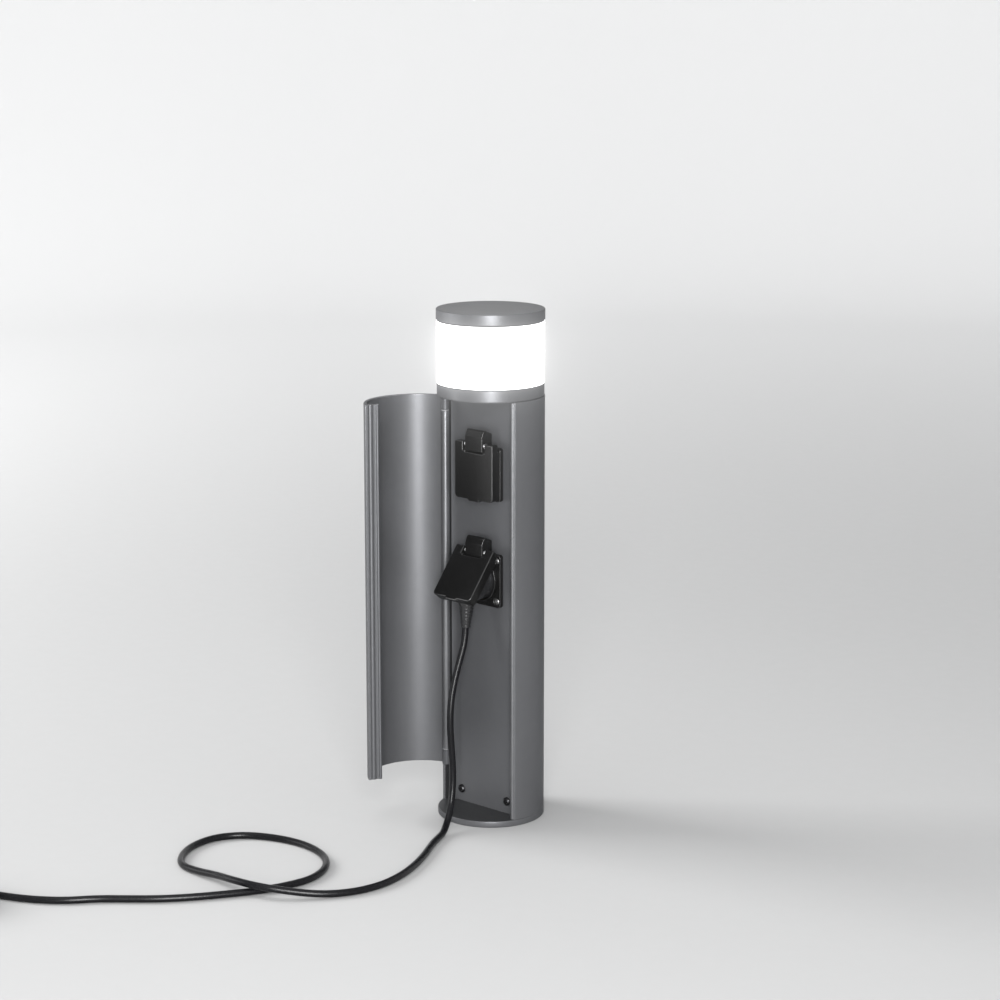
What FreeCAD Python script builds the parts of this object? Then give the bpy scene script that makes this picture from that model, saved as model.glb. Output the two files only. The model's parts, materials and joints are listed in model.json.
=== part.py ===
# Bollard light with two hinged-lid sockets behind a curved door, shown with a lead plugged in.
# Millimetres. The origin is the centre of the foot's underside, +Z is up and the door's side faces -Y.
# Angles round the column are measured from the front, -Y, and grow towards +X.

import FreeCAD, Part
import math
import os

V = FreeCAD.Vector
UP = V(0, 0, 1)
FRONT = V(0, -1, 0)
BACK = V(0, 1, 0)

# Column
column_diameter = 100.0
column_height = 480.0
base_thickness = 6.0
collar_height = 11.0
cap_thickness = 10.0
diffuser_height = 57.0
seal_thickness = 1.0
shell_wall = 3.0
shell_right_angle = 68.0
shell_left_angle = -70.0
edge_break = 0.6
jamb_depth = 4.0
jamb_setback_angle = 2.0
jamb_angle = 5.0
weld = 0.5
same_place = 0.01

# Fastener sizes
m4_radius = 2.0
m4_clearance = 2.2
m4_head_radius = 3.9
m4_head_height = 2.4
driver_slot_width = 1.0
head_top_share = 0.7
slot_floor_share = 0.55
sink_allowance = 0.1

# Screw ports of the shell, which take the foot's and the collar's screws
port_angles = (-105.0, 105.0, 180.0)
port_circle_radius = 42.0
port_radius = 4.5
port_web = 3.0
port_screw_length = 22.0

# Foot
anchor_spacing = 56.0
anchor_hole_radius = 3.5
anchor_setback = 18.0
cable_hole_radius = 12.0
cable_hole_setback = 22.0
grommet_bore_radius = 6.0
grommet_flange_width = 2.5
grommet_flange_height = 2.5
grommet_lift = 0.5
lug_width = 12.0
lug_depth = 10.0
lug_height = 20.0
panel_screw_inset = 4.0
panel_screw_height = 12.0
panel_screw_length = 9.0
earth_stud_place = (-20.0, 32.0)
earth_stud_height = 14.0
earth_nut_width = 7.0
earth_nut_height = 3.2
earth_washer_radius = 4.5
earth_washer_height = 1.0

# Mounting panel, a flat sheet with wings bent forward
panel_front = 9.0
panel_sheet = 2.0
panel_flat_width = 66.0
panel_half_span = 39.5
wing_angle = 22.0
slot_width = 5.0
slot_height = 8.0

# Hinge and door
hinge_angle = -71.0
hinge_circle_radius = 46.0
barrel_radius = 4.0
hinge_pin_radius = 2.0
bush_radius = 3.0
bush_length = 12.0
bush_flange = 0.6
bush_flange_step = 0.2
running_clearance = 0.05
part_gap = 0.3
door_wall = 2.8
door_bottom = 41.7
door_top_gap = 3.7
door_free_angle = 66.6
door_open_angle = 97.0
lower_knuckle_length = 14.5
upper_knuckle_length = 10.0
upper_knuckle_drop = 3.0
knuckle_foot = 0.7
leaf_thickness = 2.8
leaf_start_angle = -73.0
leaf_end_angle = -92.0
hinge_screw_angle = -86.0
hinge_screw_radius = 1.25
hinge_screw_head = 2.4
hinge_screw_head_height = 1.5
hinge_screw_proud = 0.1
hinge_screw_bite = 2.0
shell_recess_radius = 7.2
door_recess_radius = 4.7
return_depth = 13.0
return_web = 1.6
return_setback = 1.2
screw_channel_radius = 2.7
screw_channel_bore = 1.4
screw_channel_sink = 0.3
edge_lip_radius = 1.5

# Lamp
diffuser_radius = 49.4
diffuser_wall = 3.0
collar_floor = 4.0
collar_groove_height = 0.8
collar_screw_head = 3.1
collar_groove_depth = 0.8
upstand_wall = 3.0
upstand_height = 6.0
upstand_clearance = 0.4
seal_inset = 0.4
seal_clearance = 0.2
cap_top_wall = 3.5
rod_circle_radius = 36.0
rod_angles = (0.0, 120.0, 240.0)
rod_boss_radius = 4.5
rod_bite = 3.0
rod_hole_spare = 1.0
post_flange_radius = 16.0
post_flange_height = 3.0
post_width = 20.0
post_top_gap = 12.0
post_bore_radius = 2.8
wire_hole_radius = 12.0
board_width = 18.0
board_thickness = 1.6
board_length = 44.0
board_lift = 1.0
chip_width = 3.6
chip_height = 1.0
chips_per_board = 5

# Electrical pieces behind the panel
driver_width = 44.0
driver_depth = 25.0
driver_length = 90.0
driver_edge = 2.0
terminal_width = 40.0
terminal_depth = 16.0
terminal_length = 16.0
terminal_height = 50.0
terminal_ways = 5
terminal_screw_radius = 2.2
terminal_well_depth = 4.0
terminal_well_drop = 4.5
terminal_groove_width = 1.0
terminal_groove_depth = 3.0
terminal_wire_rise = 5.0
clamp_height = 34.0
clamp_length = 8.0
clamp_inner_radius = 6.5
clamp_wall = 2.5
clamp_foot_width = 8.0
clamp_screw_radius = 1.5
clamp_screw_head = 2.6
clamp_screw_height = 1.6
clamp_screw_bite = 1.5
wire_radius = 1.4
wire_bend = 6.0
wire_spacing = 7.0
wire_clearance_behind = 9.0
lamp_wire_side = 20.5
lamp_wire_setback = 8.0
lamp_wire_end_side = 6.0
lamp_wire_turn_height = 20.0

# Sockets, measured out from the panel's front and up from the socket's centre
socket_drop = 71.0
socket_pitch = 100.0
frame_width = 48.0
frame_height = 50.0
frame_corner = 3.0
gasket_thickness = 0.8
frame_thickness = 3.5
frame_screw_spacing = 38.4
frame_screw_radius = 1.5
frame_screw_head = 3.0
frame_screw_sink = 1.9
frame_screw_length = 6.5
frame_screw_clearance = 0.2
face_radius = 21.0
face_projection = 8.0
recess_radius = 19.6
recess_depth = 17.5
face_floor = 2.5
face_hole_radius = 2.9
pin_spacing = 19.0
block_half = 18.2
block_depth = 20.0
block_corner = 3.0
panel_hole_clearance = 0.6
contact_outer = 3.3
contact_length = 15.5
contact_floor = 2.0
clip_width = 4.0
clip_thickness = 1.2
clip_reach = 12.5
clip_bump_radius = 1.0
clip_bump_setback = 3.0
clip_root_depth = 8.0
clip_clearance = 0.2
terminal_dot_radius = 2.2
terminal_dot_height = 1.2
terminal_dot_drop = 11.0
terminal_dot_rise = 13.0

# Shutter behind each face
shutter_gap = 0.3
shutter_thickness = 1.9
shutter_cavity_depth = 2.6
shutter_cavity_radius = 14.5
shutter_blade_radius = 3.6
shutter_bar_width = 6.0
shutter_hub_radius = 4.0
shutter_pivot_radius = 1.4
shutter_open_angle = 40.0

# Lids
tower_width = 21.4
tower_bottom = 21.3
tower_shoulder = 34.6
tower_top = 41.6
tower_back_top = 37.2
tower_crest_out = 11.0
tower_depth = 14.4
tower_round = 2.5
tower_clearance = 0.4
lid_width = 47.0
lid_bottom = -24.3
lid_top = 29.0
lid_wall = 2.0
lid_corner = 4.0
lid_top_corner = 1.5
lid_inner_top = 22.0
lid_notch_bottom = 19.5
lid_side_gap = 3.0
lid_back_relief = 2.0
lid_pin_height = 26.5
lid_pin_out = 10.5
lid_pin_radius = 1.25
lid_pin_side_cover = 1.5
lid_open_angle = 38.5
finger_lip_width = 14.0
finger_lip_drop = 1.6
finger_lip_depth = 4.0
finger_lip_edge = 1.25
lid_seal_width = 2.0
lid_seal_overhang = 0.2
lid_seal_notch_gap = 1.5
spring_wire_radius = 0.4
spring_coil_radius = 2.2
spring_turns = 1.75
spring_pitch = 1.2

# Plug, strain relief and lead
cord_diameter = 6.4
plug_radius = 18.9
plug_face_gap = 0.3
plug_shoulder = 14.0
plug_edge = 0.8
plug_dome_steps = 4
plug_head_end = 29.0
plug_head_radius = 12.0
plug_notch_width = 6.4
plug_notch_floor = 16.4
plug_strip_width = 5.0
plug_strip_thickness = 0.5
plug_pin_radius = 2.4
plug_pin_length = 19.0
plug_pin_dome = 1.4
plug_pin_tip_radius = 1.2
neck_top_radius = 9.3
neck_end_radius = 8.0
neck_length = 21.0
lid_rest_gap = 0.4
relief_length = 21.5
relief_start_radius = 7.2
relief_end_radius = 4.6
relief_ribs = 6
relief_groove = 0.7

# The lead's route from the strain relief, over the floor and through one loop, chosen by hand
cord_route = [
    (0.0, -34.2, 186.5),
    (0.0, -35.1, 174.0),
    (0.1, -40.4, 160.5),
    (0.4, -48.2, 142.8),
    (1.0, -55.1, 122.1),
    (1.6, -57.4, 98.1),
    (2.2, -55.9, 74.2),
    (2.8, -54.8, 54.2),
    (3.2, -55.6, 38.5),
    (4.3, -58.6, 24.8),
    (7.8, -65.2, 14.6),
    (12.6, -74.2, 7.1),
    (18.3, -84.8, 3.2),
    (23.2, -95.6, 3.2),
    (29.6, -109.2, 3.2),
    (39.0, -125.4, 3.2),
    (49.0, -142.3, 3.2),
    (60.6, -166.2, 3.2),
    (69.7, -192.5, 3.2),
    (73.5, -220.4, 3.2),
    (67.9, -248.0, 3.2),
    (53.5, -271.0, 3.7),
    (34.5, -290.0, 6.6),
    (13.2, -308.4, 11.0),
    (-14.6, -312.4, 11.0),
    (-41.2, -307.5, 7.7),
    (-67.0, -306.5, 4.5),
    (-94.0, -304.4, 3.2),
    (-114.3, -285.8, 3.2),
    (-126.4, -261.2, 3.2),
    (-128.0, -233.5, 3.2),
    (-113.0, -210.6, 3.2),
    (-88.7, -197.8, 3.2),
    (-62.0, -191.7, 3.2),
    (-34.7, -194.2, 3.2),
    (-9.5, -205.1, 3.2),
    (9.1, -225.3, 3.2),
    (18.0, -251.3, 3.2),
    (13.3, -278.1, 3.2),
    (4.0, -303.8, 3.2),
    (-9.8, -327.3, 3.2),
    (-24.7, -350.2, 3.2),
    (-41.6, -371.5, 3.2),
    (-61.6, -389.9, 3.2),
    (-82.3, -408.0, 3.2),
    (-98.6, -430.0, 3.2),
    (-120.1, -446.1, 3.2),
    (-144.0, -457.6, 3.2),
    (-166.0, -464.5, 3.2),
    (-186.0, -464.5, 3.2),
]
arc_share = 0.45

# The put-away coil beside the lead's last point
coil_mid_radius = 36.0
coil_layers = 4
coil_turns = 7.25
coil_pitch = 7.2
coil_tail = 26.0
coil_climb_turns = 0.5
neighbour_turns = 0.4

# Connector on the lead's far end
connector_radius = 22.0
connector_shoulder = 2.0
connector_edge = 1.0
connector_length = 50.0
connector_neck_length = 12.0
connector_neck_radius = 9.0
connector_relief_length = 24.0
connector_relief_end_radius = 4.6
connector_lift = 0.1
connector_grip_depth = 1.2
connector_grips = 5
connector_grip_start = 4.0
connector_grip_band = 20.0
connector_hole_depth = 15.0

# Sizes worked out from the ones above
column_radius = column_diameter / 2
shell_inner_radius = column_radius - shell_wall
cap_bottom = column_height - cap_thickness
collar_top = cap_bottom - diffuser_height - 2 * seal_thickness
shell_top = collar_top - collar_height
door_top = shell_top - door_top_gap
panel_back = panel_front - panel_sheet
upper_socket_height = shell_top - socket_drop
lower_socket_height = upper_socket_height - socket_pitch
socket_heights = {"lower": lower_socket_height, "upper": upper_socket_height}
terminal_top = terminal_height + terminal_length
driver_height = (terminal_top + lower_socket_height - block_half - driver_length) / 2
panel_screw_spacing = panel_flat_width - 2 * panel_screw_inset
wing_length = (panel_half_span - panel_flat_width / 2) / math.cos(math.radians(wing_angle))
frame_front = gasket_thickness + frame_thickness
recess_floor = face_projection - recess_depth
face_back = recess_floor - face_floor
block_back = face_back - block_depth
upstand_radius = diffuser_radius - diffuser_wall - upstand_clearance
cord_radius = cord_diameter / 2


# Plain shapes

def on_circle(radius, angle, height=0.0):
    """Point at an angle from the front, growing towards +X."""
    a = math.radians(angle)
    return V(radius * math.sin(a), -radius * math.cos(a), height)


def block(x, y, z):
    """Box between pairs of low and high values."""
    return Part.makeBox(x[1] - x[0], y[1] - y[0], z[1] - z[0], V(x[0], y[0], z[0]))


def rod(radius, start, end):
    """Round bar between two points."""
    way = end - start
    return Part.makeCylinder(radius, way.Length, start, way)


def cone(start_radius, end_radius, start, end):
    way = end - start
    return Part.makeCone(start_radius, end_radius, way.Length, start, way)


def disc(radius, low, high, place=V(0, 0, 0)):
    """Upright round bar between two heights."""
    return Part.makeCylinder(radius, high - low, V(place.x, place.y, low))


def ring(outer, inner, low, high, place=V(0, 0, 0)):
    return disc(outer, low, high, place).cut(disc(inner, low, high, place))


def prism(points, low, high):
    """Straight-sided column over a closed outline of (x, y) points."""
    outline = Part.makePolygon([V(x, y, low) for x, y in points + points[:1]])
    return Part.Face(outline).extrude(V(0, 0, high - low))


def sector(outer, inner, first_angle, last_angle, low, high):
    """Piece of a ring between two angles, less than a full turn, with true arcs."""
    middle = (first_angle + last_angle) / 2
    a, b, c = (on_circle(outer, x, low) for x in (first_angle, middle, last_angle))
    d, e, f = (on_circle(inner, x, low) for x in (last_angle, middle, first_angle))
    outer_arc, inner_arc = Part.Arc(a, b, c).toShape(), Part.Arc(d, e, f).toShape()
    edges = [outer_arc, Part.makeLine(c, d), inner_arc, Part.makeLine(f, a)]
    return Part.Face(Part.Wire(edges)).extrude(V(0, 0, high - low))


def turned(profile, start, direction):
    """Solid of revolution from (distance, radius) points, set at start and pointing along direction."""
    points = [V(r, 0, s) for s, r in profile]
    points = [V(0, 0, profile[0][0])] + points + [V(0, 0, profile[-1][0])]
    outline = Part.makePolygon(points + points[:1])
    solid = Part.Face(outline).revolve(V(0, 0, 0), UP, 360)
    solid = Part.Solid(solid.Shells[0]) if solid.ShapeType != "Solid" else solid
    solid.Placement = FreeCAD.Placement(start, FreeCAD.Rotation(UP, direction))
    return solid


def joined(shapes):
    """One solid out of touching or crossing shapes."""
    first, *rest = shapes
    return first.fuse(rest).removeSplitter() if rest else first


def polar_copies(make, angles):
    return [make(a) for a in angles]


def pan_screw(seat, direction, length, size=(m4_radius, m4_head_radius, m4_head_height)):
    """Cross-slot screw whose head stands on seat and whose shank runs along direction.

    size holds the shank's radius, the head's radius and the head's height.
    """
    radius, head, height = size
    way = V(direction).normalize()
    shank = rod(radius, seat, seat + way * length)
    top = turned([(0, head), (height / 2, head), (height, head * head_top_share)], seat, way * -1)
    side = UP if abs(way.z) < abs(way.x) + abs(way.y) else V(1, 0, 0)
    other = way.cross(side).normalize()
    cuts = []
    for along, across in ((side, other), (other, side)):
        slot = Part.makeBox(head, driver_slot_width, height / 2)
        slot.translate(V(-head / 2, -driver_slot_width / 2, 0))
        frame = FreeCAD.Matrix(
            along.x, across.x, -way.x, 0,
            along.y, across.y, -way.y, 0,
            along.z, across.z, -way.z, 0,
            0, 0, 0, 1,
        )
        slot = slot.transformGeometry(frame)
        slot.translate(seat - way * (height * slot_floor_share))
        cuts.append(slot)
    return joined([shank, top]).cut(cuts)


# Curved tubes

def biarc(start, start_way, end, end_way):
    """Two arcs that leave start along start_way and reach end along end_way."""
    chord = end - start
    both = start_way + end_way
    spread = 2 * (1 - start_way.dot(end_way))
    along = chord.dot(both)
    if spread < 1e-9:
        reach = chord.dot(chord) / (2 * along)
    else:
        reach = (-along + math.sqrt(along * along + spread * chord.dot(chord))) / spread
    first_corner = start + start_way * reach
    last_corner = end - end_way * reach
    middle = (first_corner + last_corner) * 0.5
    return [corner_arc(start, first_corner, middle), corner_arc(middle, last_corner, end)]


def corner_arc(start, corner, end):
    """Arc from start to end that is tangent to the lines through corner, which is as far from both."""
    half = (start + end) * 0.5
    inward = half - corner
    side = (start - corner).Length
    if inward.Length < 1e-7 * side:
        return Part.makeLine(start, end)
    radius = side * (start - half).Length / inward.Length
    crest = corner + inward.normalize() * (math.hypot(side, radius) - radius)
    return Part.Arc(start, crest, end).toShape()


def swept(edges, radius, start, start_way):
    """Round tube along tangent edges."""
    path = Part.Wire(edges)
    outline = Part.Wire([Part.Circle(start, start_way, radius).toShape()])
    return path.makePipeShell([outline], True, False)


def rounded_route(points, share=arc_share):
    """Edges and radii of straight runs joined by tangent arcs, each as large as its two runs allow."""
    points = [V(*p) for p in points]
    edges, radii, last = [], [], points[0]
    for before, corner, after in zip(points, points[1:], points[2:]):
        back, ahead = before - corner, after - corner
        cut = share * min(back.Length, ahead.Length)
        start = corner + back.normalize() * cut
        end = corner + ahead.normalize() * cut
        edges += [Part.makeLine(last, start), corner_arc(start, corner, end)]
        radii.append(edges[-1].Curve.Radius)
        last = end
    edges.append(Part.makeLine(last, points[-1]))
    return edges, radii


def wire_run(points, radius=wire_radius, bend=wire_bend):
    """Wire with straight runs and bends of one radius."""
    points = [V(*p) for p in points]
    edges, last = [], points[0]
    for before, corner, after in zip(points, points[1:], points[2:]):
        back, ahead = (before - corner).normalize(), (after - corner).normalize()
        cut = bend / math.tan(back.getAngle(ahead) / 2)
        start, end = corner + back * cut, corner + ahead * cut
        edges += [Part.makeLine(last, start), corner_arc(start, corner, end)]
        last = end
    edges.append(Part.makeLine(last, points[-1]))
    return swept(edges, radius, points[0], points[1] - points[0])


# Foot, shell and panel

def make_base_plate():
    plate = turned(
        [(0, column_radius - edge_break), (edge_break, column_radius),
         (base_thickness - edge_break, column_radius), (base_thickness, column_radius - edge_break)],
        V(0, 0, 0), UP,
    )
    lugs, cuts = [], [disc(cable_hole_radius, 0, base_thickness, V(0, cable_hole_setback, 0))]
    for side in (-1, 1):
        middle = side * panel_screw_spacing / 2
        lug_x = (middle - lug_width / 2, middle + lug_width / 2)
        lug_y = (-panel_back, -panel_back + lug_depth)
        lugs.append(block(lug_x, lug_y, (base_thickness, base_thickness + lug_height)))
        screw_height = base_thickness + panel_screw_height
        cuts.append(rod(m4_radius, V(middle, -panel_back, screw_height), V(middle, 0, screw_height)))
        anchor = V(side * anchor_spacing / 2, anchor_setback, 0)
        cuts.append(disc(anchor_hole_radius, 0, base_thickness, anchor))
    for angle in port_angles:
        centre = on_circle(port_circle_radius, angle)
        cuts.append(disc(m4_clearance, 0, base_thickness, centre))
        cuts.append(cone(m4_head_radius, m4_clearance, centre, centre + UP * m4_head_height))
    return joined([plate] + lugs).cut(cuts)


def countersunk_screw(centre, direction, length):
    """Screw whose flat head is level with the face at centre."""
    way = V(direction)
    head_end = centre + way * (m4_head_height - sink_allowance)
    head = cone(m4_head_radius - running_clearance, m4_radius, centre, head_end)
    return joined([head, rod(m4_radius, centre, centre + way * length)])


def make_base_screws():
    def one(angle):
        return countersunk_screw(on_circle(port_circle_radius, angle), UP, port_screw_length)
    return polar_copies(one, port_angles)


def make_column_shell():
    """C-shaped shell with three screw ports, cut back round the hinge where the door turns."""
    low, high = base_thickness, shell_top
    wall = sector(column_radius, shell_inner_radius, shell_right_angle, 360 + shell_left_angle, low, high)
    jamb_start = shell_right_angle + jamb_setback_angle
    jamb_outer, jamb_inner = shell_inner_radius + weld, shell_inner_radius - jamb_depth
    jamb = sector(jamb_outer, jamb_inner, jamb_start, jamb_start + jamb_angle, low, high)
    solid = [wall, jamb]
    holes = []
    for angle in port_angles:
        centre = on_circle(port_circle_radius, angle)
        out = on_circle(shell_inner_radius + shell_wall / 2, angle)
        across = V(-centre.y, centre.x, 0).normalize() * (port_web / 2)
        corners = [(p.x, p.y) for p in (centre + across, out + across, out - across, centre - across)]
        solid += [disc(port_radius, low, high, centre), prism(corners, low, high)]
        holes.append(disc(m4_radius, low, high, centre))
    hinge = on_circle(hinge_circle_radius, hinge_angle)
    recess_low, recess_high = door_bottom - knuckle_foot - part_gap, door_top + 2 * part_gap
    holes.append(disc(shell_recess_radius, recess_low, recess_high, hinge))
    for height in hinge_screw_heights():
        inner = on_circle(shell_inner_radius - 1, hinge_screw_angle, height)
        outer = on_circle(shell_inner_radius + hinge_screw_bite + part_gap, hinge_screw_angle, height)
        holes.append(rod(hinge_screw_radius, inner, outer))
    return joined(solid).cut(holes)


def panel_outline():
    """Closed outline of the panel's sheet, seen from above."""
    a = math.radians(wing_angle)
    half = panel_flat_width / 2
    tip = (half + wing_length * math.cos(a), -panel_front - wing_length * math.sin(a))
    inner_bend = half + panel_sheet * math.tan(a / 2)
    back_tip = (tip[0] + panel_sheet * math.sin(a), tip[1] + panel_sheet * math.cos(a))
    right_side = [(half, -panel_front), tip, back_tip, (inner_bend, -panel_back)]
    left_side = [(-x, y) for x, y in reversed(right_side)]
    return right_side + left_side


def make_mounting_panel():
    sheet = prism(panel_outline(), base_thickness, shell_top)
    front, back = -panel_front - 1, -panel_back + 1
    cuts = []
    for height in socket_heights.values():
        hole = face_radius + panel_hole_clearance
        cuts.append(rod(hole, V(0, front, height), V(0, back, height)))
        for x, z in frame_screw_places(height):
            cuts.append(rod(frame_screw_radius, V(x, front, z), V(x, back, z)))
    bottom = -panel_back - clamp_screw_bite
    cuts += [rod(clamp_screw_radius, V(x, bottom, z), V(x, back, z)) for x, z in clamp_screw_places()]
    slot_middle = base_thickness + panel_screw_height
    straight = (slot_height - slot_width) / 2
    slot_span = (slot_middle - straight, slot_middle + straight)
    for side in (-1, 1):
        x = side * panel_screw_spacing / 2
        for z in slot_span:
            cuts.append(rod(slot_width / 2, V(x, front, z), V(x, back, z)))
        cuts.append(block((x - slot_width / 2, x + slot_width / 2), (front, back), slot_span))
    return sheet.cut(cuts)


def make_panel_screws():
    """Two screws that hold the panel to the foot's lugs, and two that hold the cable clamp from behind."""
    height = base_thickness + panel_screw_height
    places = [V(side * panel_screw_spacing / 2, -panel_front, height) for side in (-1, 1)]
    screws = [pan_screw(place, BACK, panel_screw_length) for place in places]
    size = (clamp_screw_radius, clamp_screw_head, clamp_screw_height)
    length = clamp_wall + clamp_screw_bite - sink_allowance
    for x, z in clamp_screw_places():
        place = V(x, -panel_back + clamp_wall, z)
        screws.append(pan_screw(place, FRONT, length, size))
    return screws


def clamp_screw_places():
    x = clamp_inner_radius + clamp_wall + clamp_foot_width / 2
    return [(side * x, clamp_height + clamp_length / 2) for side in (-1, 1)]


# Hinge and door

def hinge_axis(height):
    return on_circle(hinge_circle_radius, hinge_angle, height)


def lower_knuckle_span():
    return door_bottom - knuckle_foot, door_bottom - knuckle_foot + lower_knuckle_length


def upper_knuckle_span():
    top = door_top - upper_knuckle_drop
    return top - upper_knuckle_length, top


def hinge_screw_heights():
    return [sum(lower_knuckle_span()) / 2, sum(upper_knuckle_span()) / 2]


def make_knuckle(span):
    """Fixed hinge knuckle with a leaf that lies on the inside of the shell."""
    low, high = span
    barrel = disc(barrel_radius, low, high, hinge_axis(0))
    leaf_inner = shell_inner_radius - leaf_thickness
    leaf = sector(shell_inner_radius, leaf_inner, leaf_end_angle, leaf_start_angle, low, high)
    middle = (low + high) / 2
    bore = disc(hinge_pin_radius, low, high, hinge_axis(0))
    inner = on_circle(leaf_inner - 1, hinge_screw_angle, middle)
    outer = on_circle(shell_inner_radius + 1, hinge_screw_angle, middle)
    return joined([barrel, leaf]).cut([bore, rod(hinge_screw_radius, inner, outer)])


def barrel_span():
    """The door's barrel, between the bush flanges that run on the knuckles."""
    low = lower_knuckle_span()[1] + part_gap + bush_flange
    high = upper_knuckle_span()[0] - part_gap - bush_flange
    return low, high


def make_hinge_pins():
    low_start, low_end = lower_knuckle_span()
    high_start, high_end = upper_knuckle_span()
    return [
        disc(hinge_pin_radius, low_start, low_end + bush_length, hinge_axis(0)),
        disc(hinge_pin_radius, high_start - bush_length, high_end, hinge_axis(0)),
    ]


def make_hinge_screws():
    screws = []
    size = (hinge_screw_radius, hinge_screw_head, hinge_screw_head_height)
    seat_radius = shell_inner_radius - leaf_thickness - hinge_screw_proud
    length = leaf_thickness + hinge_screw_proud + hinge_screw_bite
    for height in hinge_screw_heights():
        seat = on_circle(seat_radius, hinge_screw_angle, height)
        screws.append(pan_screw(seat, on_circle(1, hinge_screw_angle), length, size))
    return screws


def opened(shape):
    """Turns a piece of the closed door to where the open door stands."""
    shape = shape.copy()
    shape.rotate(hinge_axis(0), UP, -door_open_angle)
    return shape


def edge_frame_point(radius, offset, height):
    """Point beside the door's free edge: radius from the column's axis, offset past the edge's face."""
    a = math.radians(door_free_angle)
    out = on_circle(radius, door_free_angle, height)
    return out + V(math.cos(a), math.sin(a), 0) * offset


def edge_bar(radius, offset, bar_radius):
    """Round bar along the door's free edge."""
    ends = [edge_frame_point(radius, offset, height) for height in (door_bottom, door_top)]
    return rod(bar_radius, *ends)


def make_door():
    """Curved door with its hinge barrel and the folded profile of its free edge."""
    inner = column_radius - door_wall
    low, high = barrel_span()
    skin = sector(column_radius, inner, hinge_angle + 2, door_free_angle, door_bottom, door_top)
    barrel = disc(barrel_radius, low, high, hinge_axis(0))
    tip_radius = column_radius - return_depth
    near, far = -return_setback, -return_setback - return_web
    root, tip = inner + weld, tip_radius + edge_lip_radius
    places = ((root, far), (root, near), (tip, near), (tip, far))
    corners = [edge_frame_point(radius, offset, 0) for radius, offset in places]
    web = prism([(p.x, p.y) for p in corners], door_bottom, door_top)
    channel_centre = inner - screw_channel_radius + screw_channel_sink
    channel = edge_bar(channel_centre, -screw_channel_radius, screw_channel_radius)
    lip = edge_bar(tip_radius + edge_lip_radius, -edge_lip_radius, edge_lip_radius)
    solid = joined([skin, barrel, web, channel, lip])
    cuts = [
        edge_bar(channel_centre, -screw_channel_radius, screw_channel_bore),
        disc(bush_radius, low, high, hinge_axis(0)),
        disc(door_recess_radius, door_bottom, low, hinge_axis(0)),
        disc(door_recess_radius, high, door_top, hinge_axis(0)),
    ]
    return opened(solid.cut(cuts))


def make_hinge_bushes():
    """Plastic bushes in the ends of the door's barrel, each with a flange that runs on a knuckle."""
    low, high = barrel_span()
    bore = hinge_pin_radius + running_clearance
    flange = barrel_radius - bush_flange_step
    bushes = []
    for flange_span, sleeve_span in (
        ((low - bush_flange, low), (low, low + bush_length)),
        ((high, high + bush_flange), (high - bush_length, high)),
    ):
        sleeve = disc(bush_radius, *sleeve_span, hinge_axis(0))
        bush = joined([disc(flange, *flange_span, hinge_axis(0)), sleeve])
        bushes.append(bush.cut(disc(bore, door_bottom, door_top, hinge_axis(0))))
    return bushes


# Lamp

def make_top_collar():
    """Ring between shell and diffuser, with a floor, a shadow groove and an upstand inside the diffuser."""
    groove = diffuser_radius - collar_groove_depth
    body = joined([
        disc(groove, shell_top, shell_top + collar_groove_height),
        disc(diffuser_radius, shell_top + collar_groove_height, collar_top),
        disc(upstand_radius, collar_top, collar_top + upstand_height),
    ])
    floor = shell_top + collar_floor
    cuts = [
        disc(upstand_radius - upstand_wall, floor, collar_top + upstand_height),
        disc(wire_hole_radius, shell_top, floor),
    ]
    for angle in port_angles:
        centre = on_circle(port_circle_radius, angle)
        cuts.append(disc(m4_clearance, shell_top, floor, centre))
        cuts.append(disc(collar_screw_head + part_gap, floor, collar_top + upstand_height, centre))
    for angle in rod_angles:
        centre = on_circle(rod_circle_radius, angle, shell_top)
        cuts.append(disc(m4_clearance, shell_top, floor, centre))
        cuts.append(cone(m4_head_radius, m4_clearance, centre, centre + UP * m4_head_height))
    return body.cut(cuts)


def make_collar_screws():
    def one(angle):
        seat = on_circle(port_circle_radius, angle, shell_top + collar_floor)
        size = (m4_radius, collar_screw_head, m4_head_height)
        return pan_screw(seat, UP * -1, port_screw_length, size)
    return polar_copies(one, port_angles)


def make_seal(low):
    """Flat ring that the diffuser's end presses on."""
    return ring(diffuser_radius - seal_inset, upstand_radius + seal_clearance, low, low + seal_thickness)


def make_diffuser():
    low, high = collar_top + seal_thickness, cap_bottom - seal_thickness
    return ring(diffuser_radius, diffuser_radius - diffuser_wall, low, high)


def make_cap():
    """Flat cap with a spigot inside the diffuser and bosses for the tie rods."""
    body = turned(
        [(0, column_radius - edge_break), (edge_break, column_radius),
         (cap_thickness - edge_break, column_radius), (cap_thickness, column_radius - edge_break)],
        V(0, 0, cap_bottom), UP,
    )
    low, high = cap_bottom - upstand_height, column_height - cap_top_wall
    spigot = disc(upstand_radius, low, cap_bottom)
    hollow = disc(upstand_radius - upstand_wall, low, high)
    shell = joined([body, spigot]).cut(hollow)
    bosses, holes = [], []
    for angle in rod_angles:
        centre = on_circle(rod_circle_radius, angle)
        bosses.append(disc(rod_boss_radius, low, high, centre))
        holes.append(disc(m4_radius, low, cap_bottom + rod_bite + rod_hole_spare, centre))
    return joined([shell] + bosses).cut(holes)


def make_tie_rods():
    length = cap_bottom + rod_bite - shell_top

    def one(angle):
        return countersunk_screw(on_circle(rod_circle_radius, angle, shell_top), UP, length)
    return polar_copies(one, rod_angles)


def make_led_post():
    """Square aluminium post that carries the boards and takes their heat to the collar."""
    low = shell_top + collar_floor
    flange = disc(post_flange_radius, low, low + post_flange_height)
    half = post_width / 2
    post = block((-half, half), (-half, half), (low, cap_bottom - post_top_gap))
    return joined([flange, post]).cut(disc(post_bore_radius, low + post_flange_height, cap_bottom))


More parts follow.
